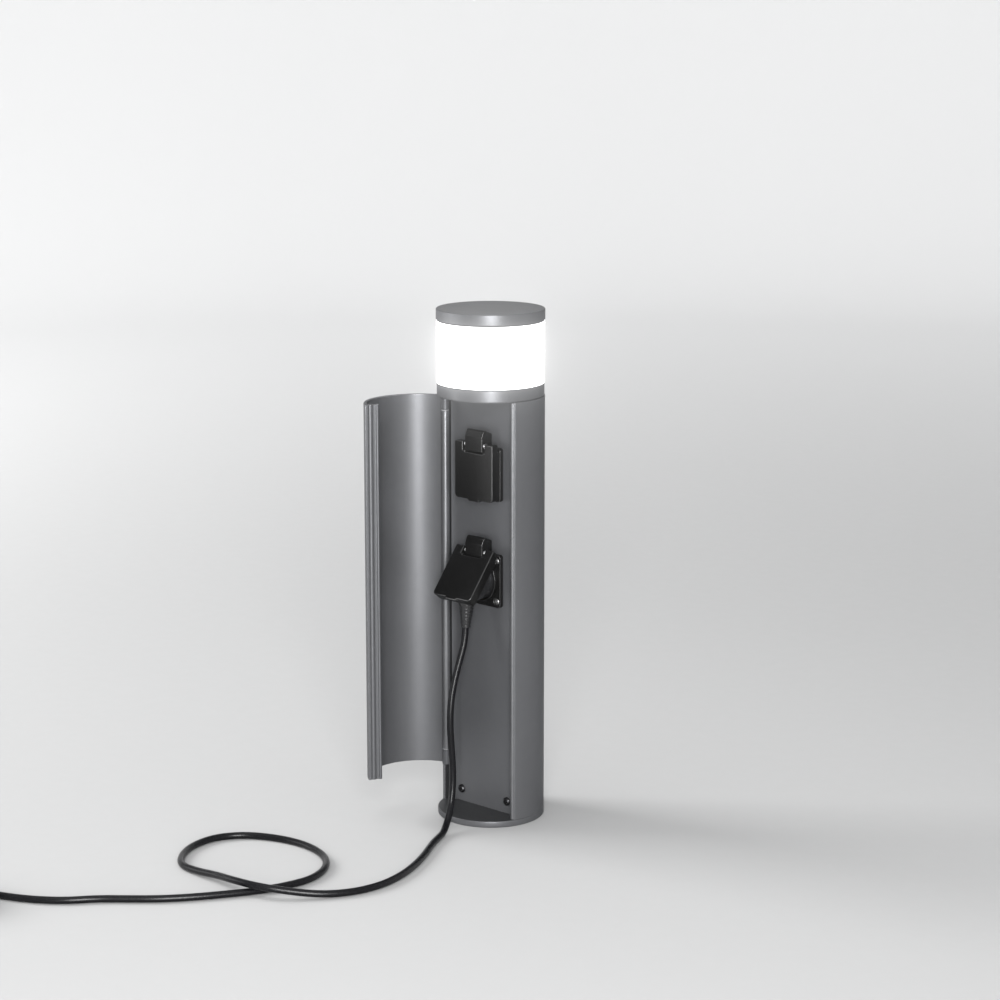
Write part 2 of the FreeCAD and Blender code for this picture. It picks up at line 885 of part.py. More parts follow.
def board_heights():
    low = shell_top + collar_floor + post_flange_height + board_lift
    return low, low + board_length


def make_led_boards():
    seat = post_width / 2
    board = block((-board_width / 2, board_width / 2), (seat, seat + board_thickness), board_heights())
    return quarter_copies(board)


def quarter_copies(shape):
    """The shape on all four sides of the post."""
    copies = []
    for turn in range(4):
        side = shape.copy()
        side.rotate(V(0, 0, 0), UP, 90 * turn)
        copies.append(side)
    return copies


def make_led_chips():
    low, high = board_heights()
    step = (high - low) / chips_per_board
    face, half = post_width / 2 + board_thickness, chip_width / 2
    chips = []
    for n in range(chips_per_board):
        middle = low + step * (n + 0.5)
        chip = block((-half, half), (face, face + chip_height), (middle - half, middle + half))
        chips += quarter_copies(chip)
    return chips


# Pieces behind the panel

def make_led_driver():
    """Sealed power supply for the lamp, on the panel's back."""
    half = driver_width / 2
    depth = (-panel_back, -panel_back + driver_depth)
    case = block((-half, half), depth, (driver_height, driver_height + driver_length))
    upright = [e for e in case.Edges if abs(e.Vertexes[0].Z - e.Vertexes[1].Z) > driver_length / 2]
    return case.makeFillet(driver_edge, [e for e in upright if e.Vertexes[0].Y > 0])


def terminal_places():
    step = terminal_width / terminal_ways
    return [-terminal_width / 2 + step * (n + 0.5) for n in range(terminal_ways)]


def make_terminal_block():
    half = terminal_width / 2
    back = -panel_back + terminal_depth
    body = block((-half, half), (-panel_back, back), (terminal_height, terminal_top))
    level = terminal_top - terminal_well_drop
    cuts = []
    for x in terminal_places():
        floor = V(x, back - terminal_well_depth, level)
        cuts.append(rod(terminal_screw_radius, floor, V(x, back + 1, level)))
    groove = terminal_groove_width / 2
    for x in terminal_places()[:-1]:
        wall = x + terminal_width / terminal_ways / 2
        depth = (back - terminal_groove_depth, back + 1)
        cuts.append(block((wall - groove, wall + groove), depth, (terminal_height - 1, terminal_top + 1)))
    return body.cut(cuts)


def make_cable_clamp():
    """Saddle that would grip the supply cable against the panel's back."""
    outer = clamp_inner_radius + clamp_wall
    low, high = clamp_height, clamp_height + clamp_length
    arch = ring(outer, clamp_inner_radius, low, high, V(0, -panel_back, 0))
    arch = arch.common(block((-outer, outer), (-panel_back, outer), (low, high)))
    reach = outer + clamp_foot_width
    feet = []
    for side in (-1, 1):
        x = sorted((side * (outer - weld), side * reach))
        feet.append(block(x, (-panel_back, -panel_back + clamp_wall), (low, high)))
    holes = [rod(clamp_screw_radius, V(x, -panel_front, z), V(x, 0, z)) for x, z in clamp_screw_places()]
    return joined([arch] + feet).cut(holes)


def make_cable_grommet():
    place = V(0, cable_hole_setback, 0)
    sleeve = disc(cable_hole_radius, grommet_lift, base_thickness, place)
    top = base_thickness + grommet_flange_height
    flange = disc(cable_hole_radius + grommet_flange_width, base_thickness, top, place)
    return joined([sleeve, flange]).cut(disc(grommet_bore_radius, 0, top, place))


def hexagon(across, low, high, place):
    """Upright hexagonal nut, measured across its flats."""
    sides = 6
    corners = [on_circle(across / math.sqrt(3), 360 / sides * n) + place for n in range(sides)]
    return prism([(p.x, p.y) for p in corners], low, high)


def make_earth_stud():
    place = V(*earth_stud_place, 0)
    first_nut_top = base_thickness + earth_nut_height
    washer_top = first_nut_top + earth_washer_height
    stud = disc(m4_radius, base_thickness, base_thickness + earth_stud_height, place)
    washer = disc(earth_washer_radius, first_nut_top, washer_top, place)
    pieces = [stud, washer]
    for low in (base_thickness, washer_top):
        pieces.append(hexagon(earth_nut_width, low, low + earth_nut_height, place))
    return joined(pieces)


def make_wires():
    """Mains wires from the terminal block to both sockets, and the lamp's two wires from the driver."""
    socket_back = -panel_front - block_back
    behind = socket_back + wire_clearance_behind
    terminal_back = -panel_back + terminal_depth
    terminal_middle = terminal_height + terminal_wire_rise
    lower, upper = socket_heights["lower"], socket_heights["upper"]
    wires = []
    for n in (-1, 0, 1):
        x = n * wire_spacing
        wires.append(wire_run([
            (x, terminal_back, terminal_middle), (x, behind, terminal_middle),
            (x, behind, lower - wire_bend), (x, socket_back, lower - wire_bend),
        ]))
        wires.append(wire_run([
            (x, socket_back, lower + wire_bend), (x, behind, lower + wire_bend),
            (x, behind, upper - wire_bend), (x, socket_back, upper - wire_bend),
        ]))
    driver_top = driver_height + driver_length
    turn_low, turn_high = shell_top - 2 * lamp_wire_turn_height, shell_top - lamp_wire_turn_height
    for side in (-1, 1):
        x = side * lamp_wire_side
        end = side * lamp_wire_end_side
        wires.append(wire_run([
            (x, lamp_wire_setback, driver_top), (x, lamp_wire_setback, turn_low),
            (end, 0, turn_high), (end, 0, shell_top + collar_floor),
        ]))
    return wires


# Sockets

def frame_screw_places(height):
    half = frame_screw_spacing / 2
    return [(x, height + z) for x in (-half, half) for z in (-half, half)]


def out(x, distance, height):
    """Point measured out from the panel's front."""
    return V(x, -panel_front - distance, height)


def round_bar(radius, near, far, height, x=0.0):
    return rod(radius, out(x, near, height), out(x, far, height))


def box_out(x, distance, heights):
    return block(x, (-panel_front - distance[1], -panel_front - distance[0]), heights)


def rounded_box(width, heights, distance, corner, height):
    """Upright plate with rounded corners, between two distances from the panel."""
    low, high = height + heights[0], height + heights[1]
    half = width / 2
    inner = box_out((-half + corner, half - corner), distance, (low, high))
    outer = box_out((-half, half), distance, (low + corner, high - corner))
    posts = [
        round_bar(corner, distance[0], distance[1], z, x)
        for x in (-half + corner, half - corner) for z in (low + corner, high - corner)
    ]
    return joined([inner, outer] + posts)


def make_gasket(height):
    heights = (-frame_height / 2, frame_height / 2)
    plate = rounded_box(frame_width, heights, (0, gasket_thickness), frame_corner, height)
    holes = [round_bar(frame_screw_radius, -1, 2, z, x) for x, z in frame_screw_places(height)]
    return plate.cut(holes + [round_bar(face_radius, -1, 2, height)])


def make_tower(height):
    """Block over the lid's pin. Its front leans back above the shoulder, and its roof falls to the panel."""
    half = tower_width / 2
    shoulder, crest = (tower_depth, tower_shoulder), (tower_crest_out, tower_top)
    side = [(gasket_thickness, tower_bottom), (tower_depth, tower_bottom), shoulder, crest]
    side.append((gasket_thickness, tower_back_top))
    corners = [out(-half, distance, height + level) for distance, level in side]
    face = Part.Face(Part.makePolygon(corners + corners[:1]))
    block_shape = face.extrude(V(tower_width, 0, 0))
    middles = [out(0, distance, height + level) for distance, level in (shoulder, crest)]
    edges = [e for e in block_shape.Edges if min((e.CenterOfMass - m).Length for m in middles) < same_place]
    return block_shape.makeFillet(tower_round, edges)


def make_frame(height):
    """Screwed frame of a socket with the tower that carries the lid's pin."""
    heights = (-frame_height / 2, frame_height / 2)
    plate = rounded_box(frame_width, heights, (gasket_thickness, frame_front), frame_corner, height)
    half = tower_width / 2
    tower = make_tower(height)
    cuts = [round_bar(face_radius, -1, face_projection, height)]
    for x, z in frame_screw_places(height):
        cuts.append(round_bar(frame_screw_radius, 0, frame_front + 1, z, x))
        seat = frame_front - frame_screw_sink
        cuts.append(round_bar(frame_screw_head + frame_screw_clearance, seat, frame_front + 1, z, x))
    pin = height + lid_pin_height
    cuts.append(rod(lid_pin_radius, out(-half - 1, lid_pin_out, pin), out(half + 1, lid_pin_out, pin)))
    return joined([plate, tower]).cut(cuts)


def make_frame_screws(height):
    size = (frame_screw_radius, frame_screw_head, frame_screw_sink - sink_allowance)
    seats = [out(x, frame_front - frame_screw_sink, z) for x, z in frame_screw_places(height)]
    return [pan_screw(seat, BACK, frame_screw_length, size) for seat in seats]


def clip_slots(height):
    """Space for the earth clips at the top and bottom of the recess."""
    half = clip_width / 2 + clip_clearance
    slots = []
    for side in (-1, 1):
        heights = sorted((height + side * (block_half - clip_clearance), height + side * recess_radius))
        slots.append(box_out((-half, half), (face_back - 1, recess_floor), heights))
    return slots


def make_face(height):
    """Round cup with the recess for a plug and its two pin holes."""
    cup = round_bar(face_radius, face_back, face_projection, height)
    recess = round_bar(recess_radius, recess_floor, face_projection + 1, height)
    cuts = [recess] + clip_slots(height)
    for side in (-1, 1):
        x = side * pin_spacing / 2
        cuts.append(round_bar(face_hole_radius, face_back - 1, recess_floor + 1, height, x))
    return cup.cut(cuts)


def make_contact_block(height):
    """Rear housing with the contacts' channels and the shutter's chamber and pivot."""
    depth = (block_back, face_back)
    body = rounded_box(2 * block_half, (-block_half, block_half), depth, block_corner, height)
    chamber = round_bar(shutter_cavity_radius, face_back - shutter_cavity_depth, face_back, height)
    pivot = round_bar(shutter_pivot_radius, face_back - shutter_cavity_depth, face_back, height)
    channels = []
    for side in (-1, 1):
        x = side * pin_spacing / 2
        channels.append(round_bar(contact_outer, block_back + contact_floor, face_back, height, x))
    return joined([body.cut([chamber] + channels), pivot])


def make_contacts(height):
    """Sleeves that take a plug's pins, and the screw heads of the terminals on the back."""
    pieces = []
    half = pin_spacing / 2
    far = block_back + contact_floor
    near = far + contact_length
    for x in (-half, half):
        bore = round_bar(plug_pin_radius + running_clearance, far, near, height, x)
        pieces.append(round_bar(contact_outer, far, near, height, x).cut(bore))
    for x, z in ((-half, -terminal_dot_drop), (half, -terminal_dot_drop), (0, terminal_dot_rise)):
        head_back = block_back - terminal_dot_height
        pieces.append(round_bar(terminal_dot_radius, head_back, block_back, height + z, x))
    return pieces


def make_earth_clips(height):
    """Two sprung strips that reach into the recess, each with a round bump."""
    half = clip_width / 2
    clips = []
    for side in (-1, 1):
        z = sorted((height + side * block_half, height + side * (block_half + clip_thickness)))
        strip = box_out((-half, half), (face_back - clip_root_depth, recess_floor + clip_reach), z)
        middle = recess_floor + clip_reach - clip_bump_setback
        bump_height = height + side * block_half
        bump = rod(clip_bump_radius, out(-half, middle, bump_height), out(half, middle, bump_height))
        clips.append(joined([strip, bump]))
    return clips


def turned_about_face(shape, height, angle):
    shape = shape.copy()
    shape.rotate(out(0, 0, height), BACK, angle)
    return shape


def make_shutter(height, angle):
    """Two-bladed plate that covers both pin holes, turned by angle."""
    near = face_back - shutter_gap - shutter_thickness
    far = face_back - shutter_gap
    half = pin_spacing / 2
    bar_half = shutter_bar_width / 2
    bar = box_out((-half, half), (near, far), (height - bar_half, height + bar_half))
    blades = [round_bar(shutter_blade_radius, near, far, height, s * half) for s in (-1, 1)]
    hub = round_bar(shutter_hub_radius, near, far, height)
    hole = round_bar(shutter_pivot_radius + running_clearance, near, far, height)
    return turned_about_face(joined([bar, hub] + blades).cut(hole), height, angle)


# Lids

def ear_inner():
    """Distance from the middle to the lid's ears."""
    return tower_width / 2 + lid_side_gap


def lid_opened(shape, height, angle):
    shape = shape.copy()
    shape.rotate(out(0, lid_pin_out, height + lid_pin_height), V(-1, 0, 0), angle)
    return shape


def make_lid(height, angle):
    """Hollow lid with a notch for the tower, ears on the pin and a finger lip."""
    back = frame_front + part_gap
    low, high = height + lid_bottom, height + lid_top
    half = lid_width / 2
    depth = (back, tower_depth)
    body = rounded_box(lid_width, (lid_bottom, lid_top), depth, lid_corner, height)
    upper = rounded_box(lid_width, (0, lid_top), depth, lid_top_corner, height)
    lip_half, lip_low = finger_lip_width / 2, low - finger_lip_drop
    lip_depth = (tower_depth - finger_lip_depth, tower_depth)
    lip = box_out((-lip_half, lip_half), lip_depth, (lip_low, low + lid_corner))
    bottom_edges = [e for e in lip.Edges if abs(e.CenterOfMass.z - lip_low) < same_place]
    lip = lip.makeFillet(finger_lip_edge, [e for e in bottom_edges if e.Length < finger_lip_width])
    inner_half = half - lid_wall
    cavity_heights = (low + lid_wall, height + lid_inner_top)
    cavity = box_out((-inner_half, inner_half), (back - 1, tower_depth - lid_wall), cavity_heights)
    through = (0, tower_depth + 1)
    notch_low = height + tower_bottom - tower_clearance
    notch = box_out((-ear_inner(), ear_inner()), through, (notch_low, high + 1))
    mouth_half = tower_width / 2 + tower_clearance
    mouth = box_out((-mouth_half, mouth_half), through, (height + lid_notch_bottom, high + 1))
    relief = box_out((-half - 1, half + 1), (0, back + lid_back_relief), (height + lid_inner_top, high + 1))
    pin = height + lid_pin_height
    ends = [out(side * (half - lid_pin_side_cover), lid_pin_out, pin) for side in (-1, 1)]
    bore = rod(lid_pin_radius + running_clearance, *ends)
    return lid_opened(joined([body, upper, lip]).cut([cavity, notch, mouth, relief, bore]), height, angle)


def make_lid_seal(height, angle):
    inner = face_radius - lid_seal_width
    near, far = face_projection + part_gap, tower_depth - lid_wall
    outer = face_radius + lid_seal_overhang
    seal = round_bar(outer, near, far, height).cut(round_bar(inner, near, far, height))
    heights = (height - lid_width, height + lid_notch_bottom - lid_seal_notch_gap)
    below_notch = box_out((-lid_width, lid_width), (near, far), heights)
    return lid_opened(seal.common(below_notch), height, angle)


def make_lid_pin(height):
    half = lid_width / 2 - lid_pin_side_cover - part_gap
    pin = height + lid_pin_height
    return rod(lid_pin_radius, out(-half, lid_pin_out, pin), out(half, lid_pin_out, pin))


def spring_point(height, side, turn):
    """Point and heading of a lid spring's wire after some turns."""
    a = 2 * math.pi * turn
    x = side * (tower_width / 2 + spring_wire_radius + spring_pitch * turn)
    centre = out(x, lid_pin_out, height + lid_pin_height)
    place = centre + V(0, -math.cos(a), math.sin(a)) * spring_coil_radius
    round_way = V(0, math.sin(a), math.cos(a)) * (2 * math.pi * spring_coil_radius)
    return place, (round_way + V(side * spring_pitch, 0, 0)).normalize()


def make_lid_springs(height):
    """One short coil round the pin on each side of the tower."""
    coils = []
    quarters = round(spring_turns * 4)
    for side in (-1, 1):
        stations = [spring_point(height, side, n / 4) for n in range(quarters + 1)]
        edges = []
        for (p, p_way), (q, q_way) in zip(stations, stations[1:]):
            edges += biarc(p, p_way, q, q_way)
        coils.append(swept(edges, spring_wire_radius, *stations[0]))
    return coils


# Plug and lead

def cord_exit_way():
    """Direction in which the lead leaves the plug."""
    return (V(*cord_route[1]) - V(*cord_route[0])).normalize()


def relief_start():
    return V(*cord_route[0]) - cord_exit_way() * relief_length


def lid_plane_cut(height):
    """Everything in front of the opened lid's seal, with the gap at which the lid rests."""
    reach = column_diameter
    near = face_projection + part_gap - lid_rest_gap
    slab = box_out((-reach, reach), (near, reach), (height - reach, height + reach))
    return lid_opened(slab, height, lid_open_angle)


def make_plug_body(height):
    """Angled plug: round body in the recess, sloped head and a neck that points down."""
    near = recess_floor + plug_face_gap
    length = plug_head_end - near
    profile = [(0, plug_radius - plug_edge), (plug_edge, plug_radius), (plug_shoulder - near, plug_radius)]
    for n in range(1, plug_dome_steps + 1):
        a = math.pi / 2 * n / plug_dome_steps
        profile.append((
            plug_shoulder - near + (length - plug_shoulder + near) * math.sin(a),
            plug_head_radius + (plug_radius - plug_head_radius) * math.cos(a),
        ))
    head = turned(profile, out(0, near, height), FRONT)
    neck_end = relief_start()
    neck_start = neck_end - cord_exit_way() * neck_length
    neck = cone(neck_top_radius, neck_end_radius, neck_start, neck_end)
    notch_half = plug_notch_width / 2
    notches = []
    for side, notch_end in ((-1, face_projection), (1, plug_shoulder)):
        heights = sorted((height + side * plug_notch_floor, height + side * 2 * plug_radius))
        notches.append(box_out((-notch_half, notch_half), (near - 1, notch_end), heights))
    return joined([head.cut(notches), neck]).cut(lid_plane_cut(height))


def make_plug_pins(height):
    """Two round pins with domed tips, and the earth strips in the plug's notches."""
    near = recess_floor + plug_face_gap
    pieces = []
    for side in (-1, 1):
        base = out(side * pin_spacing / 2, near, height)
        dome_start = plug_pin_length - plug_pin_dome
        tip = (plug_pin_length, plug_pin_tip_radius)
        profile = [(0, plug_pin_radius), (dome_start, plug_pin_radius), tip]
        pieces.append(turned(profile, base, BACK))
        half = plug_strip_width / 2
        strip_top = plug_notch_floor + plug_strip_thickness
        heights = sorted((height + side * plug_notch_floor, height + side * strip_top))
        pieces.append(box_out((-half, half), (near, face_projection - 1), heights))
    return pieces


def relief_profile(length, start_radius, end_radius):
    """Tapered sleeve with square-cut grooves between its ribs."""
    profile = [(0, start_radius)]
    step = length / (relief_ribs + 0.5)
    for n in range(relief_ribs):
        a, b = step * (n + 0.5), step * (n + 1)
        for s, drop in ((a, 0), (a, relief_groove), (b, relief_groove), (b, 0)):
            radius = start_radius + (end_radius - start_radius) * s / length
            profile.append((s, radius - drop))
    return profile + [(length, end_radius)]


def make_strain_relief():
    profile = relief_profile(relief_length, relief_start_radius, relief_end_radius)
    return turned(profile, relief_start(), cord_exit_way())


def make_lead_cord():
    """The lead from the strain relief to the put-away coil. Prints its arcs' radii and volume."""
    edges, radii = rounded_route(cord_route)
    points = [V(*p) for p in cord_route]
    tube = swept(edges, cord_radius, points[0], points[1] - points[0])
    length = sum(e.Length for e in edges)
    share = tube.Volume / (math.pi * cord_radius ** 2 * length)
    runs = [(b - a).Length for a, b in zip(points, points[1:])]
    print(f"lead: {length:.1f} mm, radii {min(radii):.1f} to {max(radii):.1f} mm,", end=" ")
    print(f"runs {min(runs):.1f} to {max(runs):.1f} mm, volume over section times length {share:.4f}")
    print("lead radii", " ".join(f"{r:.0f}" for r in radii))
    return tube, length


def turned_left(way, a):
    """Level direction turned anticlockwise, as seen from above."""
    return V(way.x * math.cos(a) - way.y * math.sin(a), way.x * math.sin(a) + way.y * math.cos(a), 0)


def coil_station(turn, start, heading):
    """Place of the coil's wire after some turns, anticlockwise as seen from above."""
    per_layer = coil_turns / coil_layers
    layer = min(int(turn / per_layer), coil_layers - 1)
    within = turn - layer * per_layer
    outer = coil_mid_radius + coil_pitch * per_layer / 2
    inner = outer - coil_pitch * per_layer
    inward = layer % 2 == 0
    radius = outer - coil_pitch * within if inward else inner + coil_pitch * within
    climb_half = coil_climb_turns / 2
    level = float(layer)
    for edge in range(1, coil_layers):
        away = turn - edge * per_layer
        if abs(away) < climb_half:
            share = (away + climb_half) / (2 * climb_half)
            level = edge - 1 + share * share * (3 - 2 * share)
    centre = start - heading.cross(UP) * outer
    a = 2 * math.pi * turn
    spoke = turned_left((start - centre).normalize(), a)
    return centre + spoke * radius + UP * (level * coil_pitch)


def coil_points(last, heading, step=0.25, fine=1e-4):
    """Stations of the coil a quarter turn apart and the wire's direction at each."""
    start = last + heading * cord_diameter
    turns = [n * step for n in range(round(coil_turns / step) + 1)]
    places = [coil_station(turn, start, heading) for turn in turns]
    ways = [heading]
    for turn in turns[1:-1]:
        way = coil_station(turn + fine, start, heading) - coil_station(turn - fine, start, heading)
        ways.append(way.normalize())
    ways.append(turned_left(heading, 2 * math.pi * turns[-1]).normalize())
    return places, ways


def make_lead_coil():
    """The put-away length in one unbroken tube of four layers, ending at the connector."""
    before, last = V(*cord_route[-2]), V(*cord_route[-1])
    places, ways = coil_points(last, (last - before).normalize())
    edges = [Part.makeLine(last, places[0])]
    for p, q, p_way, q_way in zip(places, places[1:], ways, ways[1:]):
        edges += biarc(p, p_way, q, q_way)
    way = ways[-1]
    bend_end = places[-1] + way * coil_tail + UP * (connector_radius + connector_lift - places[-1].z)
    end = bend_end + way * cord_diameter
    edges += biarc(places[-1], way, bend_end, way)
    edges.append(Part.makeLine(bend_end, end))
    tube = swept(edges, cord_radius, last, ways[0])
    length = sum(e.Length for e in edges)
    share = tube.Volume / (math.pi * cord_radius ** 2 * length)
    gap = least_self_gap(edges)
    print(f"coil: {length:.1f} mm, volume over section times length {share:.4f}, least gap {gap:.2f} mm")
    return tube, length, end, way


def least_self_gap(edges, spacing=2.0):
    """Smallest clear distance between stretches of the tube that aren't neighbours along it."""
    points, along, total = [], [], 0.0
    for edge in edges:
        count = max(2, int(edge.Length / spacing))
        points += edge.discretize(count)[:-1]
        along += [total + edge.Length * n / (count - 1) for n in range(count - 1)]
        total += edge.Length
    neighbour = 2 * math.pi * coil_mid_radius * neighbour_turns
    least = total
    for i, (p, s) in enumerate(zip(points, along)):
        for q, t in zip(points[i + 1:], along[i + 1:]):
            if t - s > neighbour:
                least = min(least, (p - q).Length)
    return least - cord_diameter


def make_connector(start, heading):
    """Coupling socket on the far end, lying on the floor."""
    profile = relief_profile(connector_relief_length, connector_relief_end_radius, neck_end_radius)
    neck_start = connector_relief_length
    body_start = neck_start + connector_neck_length
    profile += [(neck_start, connector_neck_radius), (body_start, connector_radius - connector_shoulder)]
    grip = connector_grip_band / connector_grips
    low = connector_radius - connector_grip_depth
    for n in range(connector_grips):
        a = body_start + connector_grip_start + grip * n
        profile += [(a, low), (a + grip / 4, connector_radius)]
        profile += [(a + 3 * grip / 4, connector_radius), (a + grip, low)]
    end = body_start + connector_length
    smooth_start = end - recess_depth - connector_grip_start
    profile += [(smooth_start, connector_radius), (end - connector_edge, connector_radius)]
    profile.append((end, connector_radius - connector_edge))
    body = turned(profile, start, heading)
    floor = start + heading * (end - recess_depth)
    cuts = [rod(recess_radius, floor, start + heading * end)]
    across = UP.cross(heading).normalize() * (pin_spacing / 2)
    for hole in (floor - across, floor + across):
        cuts.append(rod(face_hole_radius, hole, hole - heading * connector_hole_depth))
    return body.cut(cuts)


def save(name, shapes):
    """Writes one node's solid or group of separate solids."""
    shapes = shapes if isinstance(shapes, list) else [shapes]
    solids = [solid for shape in shapes for solid in shape.Solids]
    for solid in solids:
        if not solid.isValid() or solid.Volume <= 0:
            raise ValueError(f"{name} has a bad solid")
    shape = solids[0] if len(solids) == 1 else Part.makeCompound(solids)
    shape.exportStep(f"parts/{name}.step")
    print(f"{name}: {len(solids)} solid(s), {sum(s.Volume for s in solids) / 1000:.2f} cm3")


def build_column():
    save("base_plate", make_base_plate())
    save("base_screws", make_base_screws())
    save("column_shell", make_column_shell())
    save("mounting_panel", make_mounting_panel())
    save("panel_screws", make_panel_screws())
    save("led_driver", make_led_driver())
    save("terminal_block", make_terminal_block())
    save("cable_clamp", make_cable_clamp())
    save("cable_grommet", make_cable_grommet())
    save("earth_stud", make_earth_stud())
    save("wires", make_wires())


def build_door():
    save("hinge_knuckle_lower", make_knuckle(lower_knuckle_span()))
    save("hinge_knuckle_upper", make_knuckle(upper_knuckle_span()))
    save("hinge_pins", make_hinge_pins())
    save("hinge_screws", make_hinge_screws())
    save("door", make_door())
    save("hinge_bushes", make_hinge_bushes())


def build_lamp():
    save("top_collar", make_top_collar())
    save("collar_screws", make_collar_screws())
    save("lower_seal", make_seal(collar_top))
    save("diffuser", make_diffuser())
    save("upper_seal", make_seal(cap_bottom - seal_thickness))
    save("cap", make_cap())
    save("tie_rods", make_tie_rods())
    save("led_post", make_led_post())
    save("led_boards", make_led_boards())
    save("led_chips", make_led_chips())


def build_socket(name, height, lid_angle, shutter_angle):
    save(f"{name}_gasket", make_gasket(height))
    save(f"{name}_frame", make_frame(height))
    save(f"{name}_frame_screws", make_frame_screws(height))
    save(f"{name}_face", make_face(height))
    save(f"{name}_contact_block", make_contact_block(height))
    save(f"{name}_contacts", make_contacts(height))
    save(f"{name}_earth_clips", make_earth_clips(height))
    save(f"{name}_shutter", make_shutter(height, shutter_angle))
    save(f"{name}_lid", make_lid(height, lid_angle))
    save(f"{name}_lid_seal", make_lid_seal(height, lid_angle))
    save(f"{name}_lid_pin", make_lid_pin(height))
    save(f"{name}_lid_springs", make_lid_springs(height))


def build_lead():
    height = socket_heights["lower"]
    save("plug_body", make_plug_body(height))
    save("plug_pins", make_plug_pins(height))
    save("strain_relief", make_strain_relief())
    cord, cord_length = make_lead_cord()
    save("lead_cord", cord)
    coil, coil_length, end, heading = make_lead_coil()
    save("lead_coil", coil)
    save("connector", make_connector(end, heading))
    print(f"lead in all: {cord_length + coil_length:.0f} mm")


def main():
    os.makedirs("parts", exist_ok=True)
    build_column()
    build_door()
    build_lamp()
    build_socket("lower", socket_heights["lower"], lid_open_angle, shutter_open_angle)
    build_socket("upper", socket_heights["upper"], 0.0, 0.0)
    build_lead()


main()
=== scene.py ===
# %% [markdown]
# A garden bollard light, 480 mm high and 100 mm across, with a glowing ring under its cap. A curved door
# stands open on its left, and shows a bay with two sockets under sprung black lids. A black lead is plugged
# into the lower one. It hangs down, crosses the floor and makes one loose loop.
# The engineering model gives every solid its place. This file adds what a solid can't have: a lead on one
# smooth line, moulded rubber, rounded edges, finishes and light.

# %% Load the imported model
import json
import bmesh
import bpy
import numpy as np
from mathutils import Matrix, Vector


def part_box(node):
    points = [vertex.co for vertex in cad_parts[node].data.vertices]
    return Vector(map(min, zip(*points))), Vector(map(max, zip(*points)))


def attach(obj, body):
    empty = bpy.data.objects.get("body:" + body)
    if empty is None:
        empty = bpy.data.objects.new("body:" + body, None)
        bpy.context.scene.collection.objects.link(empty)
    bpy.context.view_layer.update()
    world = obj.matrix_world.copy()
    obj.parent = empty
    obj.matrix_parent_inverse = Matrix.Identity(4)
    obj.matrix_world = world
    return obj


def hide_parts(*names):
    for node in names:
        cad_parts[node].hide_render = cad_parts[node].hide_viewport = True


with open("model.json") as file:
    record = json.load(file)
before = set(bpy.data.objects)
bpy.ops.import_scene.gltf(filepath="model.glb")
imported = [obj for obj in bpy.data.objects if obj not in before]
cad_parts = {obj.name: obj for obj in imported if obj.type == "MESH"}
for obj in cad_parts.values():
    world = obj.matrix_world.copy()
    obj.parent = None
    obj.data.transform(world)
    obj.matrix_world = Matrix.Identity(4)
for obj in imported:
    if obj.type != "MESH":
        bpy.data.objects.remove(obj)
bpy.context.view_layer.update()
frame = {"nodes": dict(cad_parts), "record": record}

MM = 0.001
BEHAVIOUR = frame["record"]["behaviour"]

# %% [markdown]
# The camera comes first, because every later choice is judged through it. A lens of 94 mm is a short
# telephoto, so upright edges stay nearly parallel. The camera looks down a little, and the turn about Z puts
# the open bay on the left of the picture and the closed side on the right.

# %% Camera
CAMERA_PLACE = (1.6164, -1.7414, 0.7988)
CAMERA_DOWN, CAMERA_TURN = 11.83, 42.66
LENS, SENSOR, FAR_END = 94.47, 36, 50


def added(name, data):
    """New object of a camera, curve, mesh or light, in the scene at the origin."""
    piece = bpy.data.objects.new(name, data)
    bpy.context.scene.collection.objects.link(piece)
    return piece


camera_data = bpy.data.cameras.new("camera")
camera_data.lens = LENS
camera_data.sensor_width = SENSOR
camera_data.clip_end = FAR_END
camera = added("camera", camera_data)
camera.location = CAMERA_PLACE
camera.rotation_euler = np.radians((90 - CAMERA_DOWN, 0, CAMERA_TURN))
bpy.context.scene.camera = camera
print("camera", round(Vector(CAMERA_PLACE).length, 2), "m from the foot")

# %% [markdown]
# The lead is a length of something flexible, so its line is one NURBS curve. The control points below follow
# it from the strain relief, down past the foot, over the floor and round the loop. Where it crosses itself,
# two points hold the upper strand clear. The spare length lies in a round coil outside the picture, wound in
# four layers: each layer's radius shrinks or grows by one pitch a turn, and the step up to the next layer
# takes half a turn. Its points come from that formula, sixteen to a turn.

